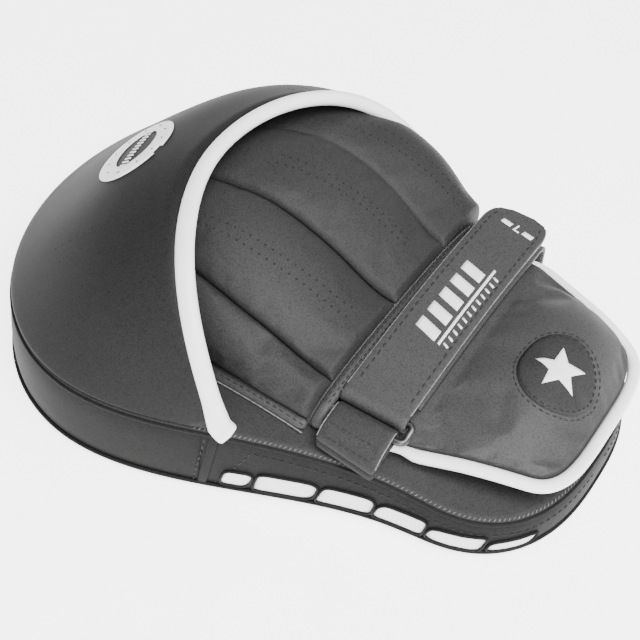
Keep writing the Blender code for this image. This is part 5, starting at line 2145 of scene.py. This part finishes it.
@dataclass
class StrapClosure:
    """Keeper, ring and the closing strap with its print and stitching."""

    stitch_inset: float = 3.0
    print_start: float = -15.0
    print_stop: float = 31.0
    print_bars: int = 5
    print_slashes: int = 12
    ink: float = 0.12
    ink_lift: float = 0.03
    mark_turn: float = -12.6
    base_gaps: float = 3.3
    base_stop_x: float = 62.0
    tab_round: float = 12.0

    def flap_path(self) -> list[Vector]:
        """Upper face of the flap as (x, z) points, from its short fold to the tab.

        Returns:
            The points in order.
        """
        outer = STRAP.bar_radius + STRAP.clear + STRAP.thick
        path = [Vector((STRAP.bar_x + 5.0, STRAP.bar_z - outer)),
                Vector((STRAP.bar_x + 2.5, STRAP.bar_z - outer))]
        for k in range(17):
            angle = math.radians(270.0 - 180.0 * k / 16.0)
            path.append(Vector((STRAP.bar_x + outer * math.cos(angle),
                                STRAP.bar_z + outer * math.sin(angle))))
        for k in range(61):
            x = mix(STRAP.bar_x + 4.0, STRAP.tab_x, k / 60.0)
            path.append(Vector((x, STRAP.top(x))))
        return path

    def half_at(self, x: float) -> float:
        """Half width of the flap, rounded at the tab.

        Args:
            x: Place across the mitt.

        Returns:
            Half the width there.
        """
        reach = STRAP.tab_x - x
        if reach >= self.tab_round:
            return 0.5 * STRAP.width
        t = 1.0 - reach / self.tab_round
        return 0.5 * STRAP.width * (0.35 + 0.65 * math.sqrt(max(0.0, 1.0 - t * t)) ** 0.8)

    def build_band(self, path: Sequence[Vector], columns: int, tab: bool) -> bmesh.types.BMesh:
        """Make the mesh of a strap from the middle line of its face.

        Args:
            path: Face of the strap as (x, z) points.
            columns: Cells across.
            tab: Whether its far end narrows into the tab.

        Returns:
            The mesh in millimetres.
        """
        count = len(path) - 1

        def spot(u: float, v: float, depth: float) -> Vector:
            """Point of the strap, u across and v along, a depth below its face.

            Args:
                u: Fraction across.
                v: Fraction along.
                depth: Distance below the face.

            Returns:
                The point in millimetres.
            """
            k = round(v * count)
            along = (path[min(k + 1, count)] - path[max(k - 1, 0)]).normalized()
            point = path[k] + Vector((along.y, -along.x)) * depth
            half = self.half_at(path[k].x) if tab and k > 20 else 0.5 * STRAP.width
            return Vector((point.x, STRAP.y + half * (2.0 * u - 1.0), point.y))

        return slab(columns, count, lambda u, v: spot(u, v, 0.0),
                    lambda u, v: spot(u, v, STRAP.thick))

    def build_flap(self) -> bpy.types.Object:
        """Make the flap, folded round the ring bar.

        Returns:
            The flap.
        """
        mesh = self.build_band(self.flap_path(), 12, True)
        sharp = [edge for edge in mesh.edges
                 if len(edge.link_faces) == 2 and edge.calc_face_angle(0.0) > 1.0]
        bmesh.ops.bevel(mesh, geom=sharp, offset=0.5, offset_type="OFFSET", segments=2, profile=0.5,
                        affect="EDGES", material=-1)
        # The flap takes the leather lightened as painted light.
        obj = piece("strap_flap", mesh, (LIT_STRAP_LEATHER, LIT_STRAP_LEATHER))
        return join_body(obj, "flap", ("strap_flap",))

    def edge_route(self, inset: float, start: float, lift: float) -> list[Route]:
        """Routes a distance inside both long edges of the flap's face.

        Args:
            inset: Distance inside the edge.
            start: Where the routes begin across the mitt.
            lift: Distance above the face.

        Returns:
            One route for each edge.
        """
        routes = []
        for sign in (-1.0, 1.0):
            route = []
            for k in range(91):
                x = mix(start, STRAP.tab_x - 3.5, k / 90.0)
                slope = (STRAP.top(x + 0.1) - STRAP.top(x - 0.1)) / 0.2
                normal = Vector((-slope, 0.0, 1.0)).normalized()
                y = STRAP.y + sign * (self.half_at(x) - inset)
                route.append((Vector((x, y, STRAP.top(x))) + normal * lift, normal))
            routes.append(route)
        return routes

    def build_flap_trim(self, skin: Skin) -> None:
        """Sew the flap's edges and lay light cords along its cut edges as painted highlights.

        Args:
            skin: Surface that the trim lies on.
        """
        routes = self.edge_route(self.stitch_inset, STRAP.bar_x + 5.0, 0.0)
        join_body(stitch("strap_stitches", routes, thread=0.36), "flap")
        # Light cords along both edges stand for the highlights on the strap's rounded edges: painted
        # highlight.
        for number, route in enumerate(self.edge_route(0.15, STRAP.bar_x + 1.0, -0.35), start=1):
            line = [point for point, _ in route]
            mesh = sweep(line, 0.34, 0.34, 6)
            join_body(piece("strap_cut_edge_%d" % number, mesh, (EDGE_PAINT_AND_HIGHLIGHT,)), "flap")
        self.build_print(skin)

    def build_print(self, skin: Skin) -> None:
        """Print plain slanted bars with a rule beside them, and the hand mark on the tab.

        Args:
            skin: Surface that the trim lies on.
        """
        drawing = bmesh.new()
        pitch = (self.print_stop - self.print_start) / self.print_bars
        for k in range(self.print_bars):
            slant_bar(drawing, self.print_start + k * pitch, 0.62 * pitch, (-4.2, 6.4), 3.4, 2.0)
        rule = self.print_stop - self.print_start + 1.6
        slant_bar(drawing, self.print_start - 0.6, rule, (-6.9, -5.7), 0.5, 2.0)
        for k in range(self.print_slashes):
            slant_bar(drawing, self.print_start - 0.4 + 3.8 * k, 1.1, (-10.4, -7.8), 1.2, 1.5)
        raise_flat(drawing, self.ink)
        wrap(drawing, skin, Vector((0.0, STRAP.y, STRAP.top(20.0))), *turned_axes(0.0),
             self.ink_lift)
        join_body(piece("strap_print", drawing, (PRINT,)), "flap")
        mark = bmesh.new()
        for low, high in ((-8.4, -3.2), (3.2, 8.4)):
            slant_bar(mark, -1.3, 2.6, (low, high), 0.0, 1.3)
        flat_grid(mark, ((-1.9, 1.3), (-1.9, -1.9), (-1.0, -1.9), (-1.0, 1.3)), 0.9)
        flat_grid(mark, ((-1.0, 1.3), (-1.0, 0.4), (2.4, 0.4), (2.4, 1.3)), 0.9)
        raise_flat(mark, self.ink)
        wrap(mark, skin, Vector((STRAP.tab_x - 11.0, STRAP.y - 2.0, STRAP.tab_z)),
             *turned_axes(self.mark_turn), self.ink_lift)
        join_body(piece("strap_hand_mark", mark, (PRINT,)), "flap")

    def build_base(self) -> None:
        """Make the base strap under the flap, sewn down at the thumb side."""
        level = STRAP.thick + self.base_gaps
        path = []
        for k in range(33):
            x = mix(STRAP.bar_x + 9.5, self.base_stop_x, k / 32.0)
            path.append(Vector((x, STRAP.top(x) - level)))
        knee = path[-1]
        foot = PAD.top(STRAP.y) + 0.3 + STRAP.thick + 3.0
        for reach, z in ((2.2, knee.y - 0.6), (4.0, knee.y - 1.8), (5.4, knee.y - 3.4),
                         (6.4, knee.y - 5.5), (7.0, mix(knee.y - 5.5, foot, 0.5)), (7.4, foot)):
            path.append(Vector((knee.x + reach, z)))
        obj = piece("strap_base", self.build_band(path, 10, False), (LIT_STRAP_LEATHER, LINING))
        join_body(obj, "mitt", ("strap_base",))
        for name, finish in (("hook_patch", HOOK), ("loop_patch", LOOP)):
            frame["nodes"][name].material_slots[0].material = finish.build()

    def keeper_path(self) -> tuple[list[Vector], list[Vector]]:
        """Outer and inner outlines of the keeper's section as (x, z) points.

        Returns:
            The two outlines, with the same number of points.
        """
        inner = STRAP.bar_radius + STRAP.clear
        outer = inner + STRAP.keeper_thick

        def arc(radius: float) -> list[Vector]:
            """Turn round the ring bar.

            Args:
                radius: Radius of the turn.

            Returns:
                The points in order.
            """
            points = []
            for k in range(25):
                angle = math.radians(mix(-80.0, 108.0, k / 24.0))
                points.append(Vector((STRAP.keeper_x + radius * math.cos(angle),
                                      STRAP.keeper_z + radius * math.sin(angle))))
            return points

        outside = [Vector(p) for p in ((-74.5, 29.1), (-73.2, 31.3), (-71.4, 33.2), (-69.4, 34.2),
                                       (-67.0, 34.6), (-63.5, 34.9))]
        outside += arc(outer)
        outside += [Vector(p) for p in ((-63.0, 41.6), (-66.0, 40.4), (-68.4, 39.3), (-70.4, 37.9),
                                        (-72.6, 35.6), (-74.5, 32.6))]
        inside = [Vector(p) for p in ((-69.0, 36.3), (-68.8, 36.33), (-68.6, 36.35), (-67.6, 36.5),
                                      (-66.4, 36.75), (-63.6, 36.95))]
        inside += arc(inner)
        inside += [Vector(p) for p in ((-63.4, 39.6), (-66.4, 38.3), (-67.6, 37.5), (-68.6, 36.9),
                                       (-68.8, 36.75), (-69.0, 36.6))]
        return outside, inside

    def build_keeper(self) -> bpy.types.Object:
        """Make the leather keeper sewn to the rim, folded round the ring.

        Returns:
            The keeper.
        """
        outside, inside = self.keeper_path()
        count = len(outside) - 1
        reach = STRAP.keeper_x - outside[0].x

        def spot(path: list[Vector], u: float, v: float) -> Vector:
            """Point of the keeper, u across and v along its section.

            Args:
                path: Outline of the section.
                u: Fraction across.
                v: Fraction along.

            Returns:
                The point in millimetres.
            """
            point = path[round(v * count)]
            y = STRAP.y + 0.5 * STRAP.keeper_width * (2.0 * u - 1.0)
            weight = max(0.0, min(1.0, (STRAP.keeper_x - point.x) / reach))
            return Vector((point.x, y, point.y + weight * (PAD.top(y) - PAD.top(STRAP.y))))

        mesh = slab(12, count, lambda u, v: spot(outside, u, v), lambda u, v: spot(inside, u, v))
        for face in mesh.faces:
            face.material_index = 0
        obj = piece("keeper_loop", mesh, (LEATHER,), levels=1)
        return join_body(obj, "mitt", ("keeper_loop",))

    def build_keeper_trim(self, skin: Skin) -> None:
        """Sew the box on the keeper and lay light cords along its cut edges: edge paint with painted
        highlight.

        Args:
            skin: Surface that the trim lies on.
        """
        half = 0.5 * STRAP.keeper_width - 3.0
        corners = [(-73.0, -half), (-66.5, -half), (-66.5, half), (-73.0, half), (-73.0, -half)]
        route = []
        for (xa, ya), (xb, yb) in zip(corners, corners[1:]):
            for k in range(12):
                x, y = mix(xa, xb, k / 12.0), mix(ya, yb, k / 12.0)
                route.append(skin.meet(Vector((x, STRAP.y + y, 40.0)), Vector((0.5, 0.0, -1.0))))
        join_body(stitch("keeper_stitches", [route], pitch=2.8, length=1.9, thread=0.26), "mitt")
        for sign in (-1.0, 1.0):
            line = []
            for k in range(25):
                x = mix(-74.2, -57.0, k / 24.0)
                y = STRAP.y + sign * (0.5 * STRAP.keeper_width - 0.35)
                line.append(skin.meet(Vector((x, y, 41.0)), Vector((0.35, 0.0, -1.0)))[0])
            name = "keeper_cut_edge_%s" % ("wrist" if sign < 0.0 else "finger")
            join_body(piece(name, sweep(line, 0.3, 0.3, 6), (EDGE_PAINT_AND_HIGHLIGHT,)), "mitt")

    def build_ring(self) -> None:
        """Bend the ring from round wire with rounded corners."""
        ends = (Vector((STRAP.keeper_x, STRAP.keeper_z)), Vector((STRAP.bar_x, STRAP.bar_z)))
        half = 0.5 * STRAP.ring_length
        corner = 2.4
        reach = (ends[1] - ends[0]).length
        toward = (ends[1] - ends[0]).normalized()
        path = []
        for start, a_sign, y_sign in ((0.0, -1.0, -1.0), (90.0, 1.0, -1.0), (180.0, 1.0, 1.0),
                                      (270.0, -1.0, 1.0)):
            for k in range(7):
                angle = math.radians(180.0 + start + 90.0 * k / 6.0)
                a = 0.5 * reach + a_sign * (0.5 * reach - corner) + corner * math.cos(angle)
                b = y_sign * (half - corner) + corner * math.sin(angle)
                p = ends[0] + toward * a
                path.append(Vector((p.x, STRAP.y + b, p.y)))
        mesh = sweep(path, STRAP.bar_radius, STRAP.bar_radius, 16, closed=True)
        join_body(piece("strap_ring", mesh, (METAL,), levels=1), "ring", ("strap_ring",))

    def build(self) -> None:
        """Build the whole closure."""
        flap = self.build_flap()
        self.build_flap_trim(Skin(flap))
        self.build_base()
        keeper = self.build_keeper()
        self.build_keeper_trim(Skin(keeper))
        self.build_ring()


@dataclass
class Studio:
    """Pale floor, soft lights and the camera."""

    turn: float = 29.29
    tilt: float = 47.09
    roll: float = 5.26
    distance: float = 0.55994
    lens: float = 69.66
    shift: tuple[float, float] = (-0.0057, 0.034)
    world: float = 0.6

    def build_camera(self) -> None:
        """Stand the camera above the little-finger side."""
        t, e, r = (math.radians(angle) for angle in (self.turn, self.tilt, self.roll))
        back = Vector((-math.cos(t) * math.cos(e), -math.sin(t) * math.cos(e), math.sin(e)))
        level = Vector((math.sin(t), -math.cos(t), 0.0))
        upward = level.cross(-back)
        right = level * math.cos(r) + upward * math.sin(r)
        above = upward * math.cos(r) - level * math.sin(r)
        data = bpy.data.cameras.new("camera")
        data.lens = self.lens
        data.sensor_width = 36.0
        data.shift_x, data.shift_y = self.shift
        camera = bpy.data.objects.new("camera", data)
        bpy.context.scene.collection.objects.link(camera)
        place = Matrix((right, above, back)).transposed().to_4x4()
        camera.matrix_world = Matrix.Translation(Vector((0.0, -0.0028, 0.0)) + back * self.distance) @ place
        bpy.context.scene.camera = camera

    def build_light(self, name: str, place: Vector, size: float, watts: float) -> None:
        """Hang one soft light that looks at the mitt.

        Args:
            name: Name of the light.
            place: Where it hangs, in metres.
            size: Width of the light, in metres.
            watts: Its power.
        """
        data = bpy.data.lights.new(name, "AREA")
        data.shape = "DISK"
        data.size = size
        data.energy = watts
        lamp = bpy.data.objects.new(name, data)
        bpy.context.scene.collection.objects.link(lamp)
        lamp.location = place
        lamp.rotation_euler = (-place).to_track_quat("-Z", "Y").to_euler()

    def build(self) -> None:
        """Build the whole studio."""
        mesh = bmesh.new()
        bmesh.ops.create_grid(mesh, x_segments=8, y_segments=8, size=3000.0)
        bmesh.ops.translate(mesh, vec=(0.0, 0.0, -0.6), verts=mesh.verts)
        floor = piece("floor", mesh, (BACKDROP,))
        self.build_light("overhead_light", Vector((-0.3, -0.6, 1.15)), 1.1, 42.0)
        self.build_light("camera_side_light", Vector((-1.1, -0.7, 0.7)), 0.8, 8.0)
        world = bpy.data.worlds.new("studio")
        bpy.context.scene.world = world
        world.use_nodes = True
        sky = world.node_tree.nodes["Background"]
        sky.inputs["Color"].default_value = (1.0, 1.0, 1.0, 1.0)
        sky.inputs["Strength"].default_value = self.world
        self.build_camera()


def main() -> None:
    """Build every sub-assembly in order and note the sizes."""
    logging.basicConfig(level=logging.INFO, format="%(name)s: %(message)s")
    for stray in [obj for obj in bpy.data.objects if obj.name in ("Cube", "Light", "Camera")]:
        bpy.data.objects.remove(stray)
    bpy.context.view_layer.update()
    for assembly in (StrikePad(), SideWall(), FingerHood(), HandPanel(), HandHold(), WristCuff(),
                     StrapClosure(), Studio()):
        LOG.info("building %s", type(assembly).__name__)
        assembly.build()


if __name__ == "__main__":
    main()
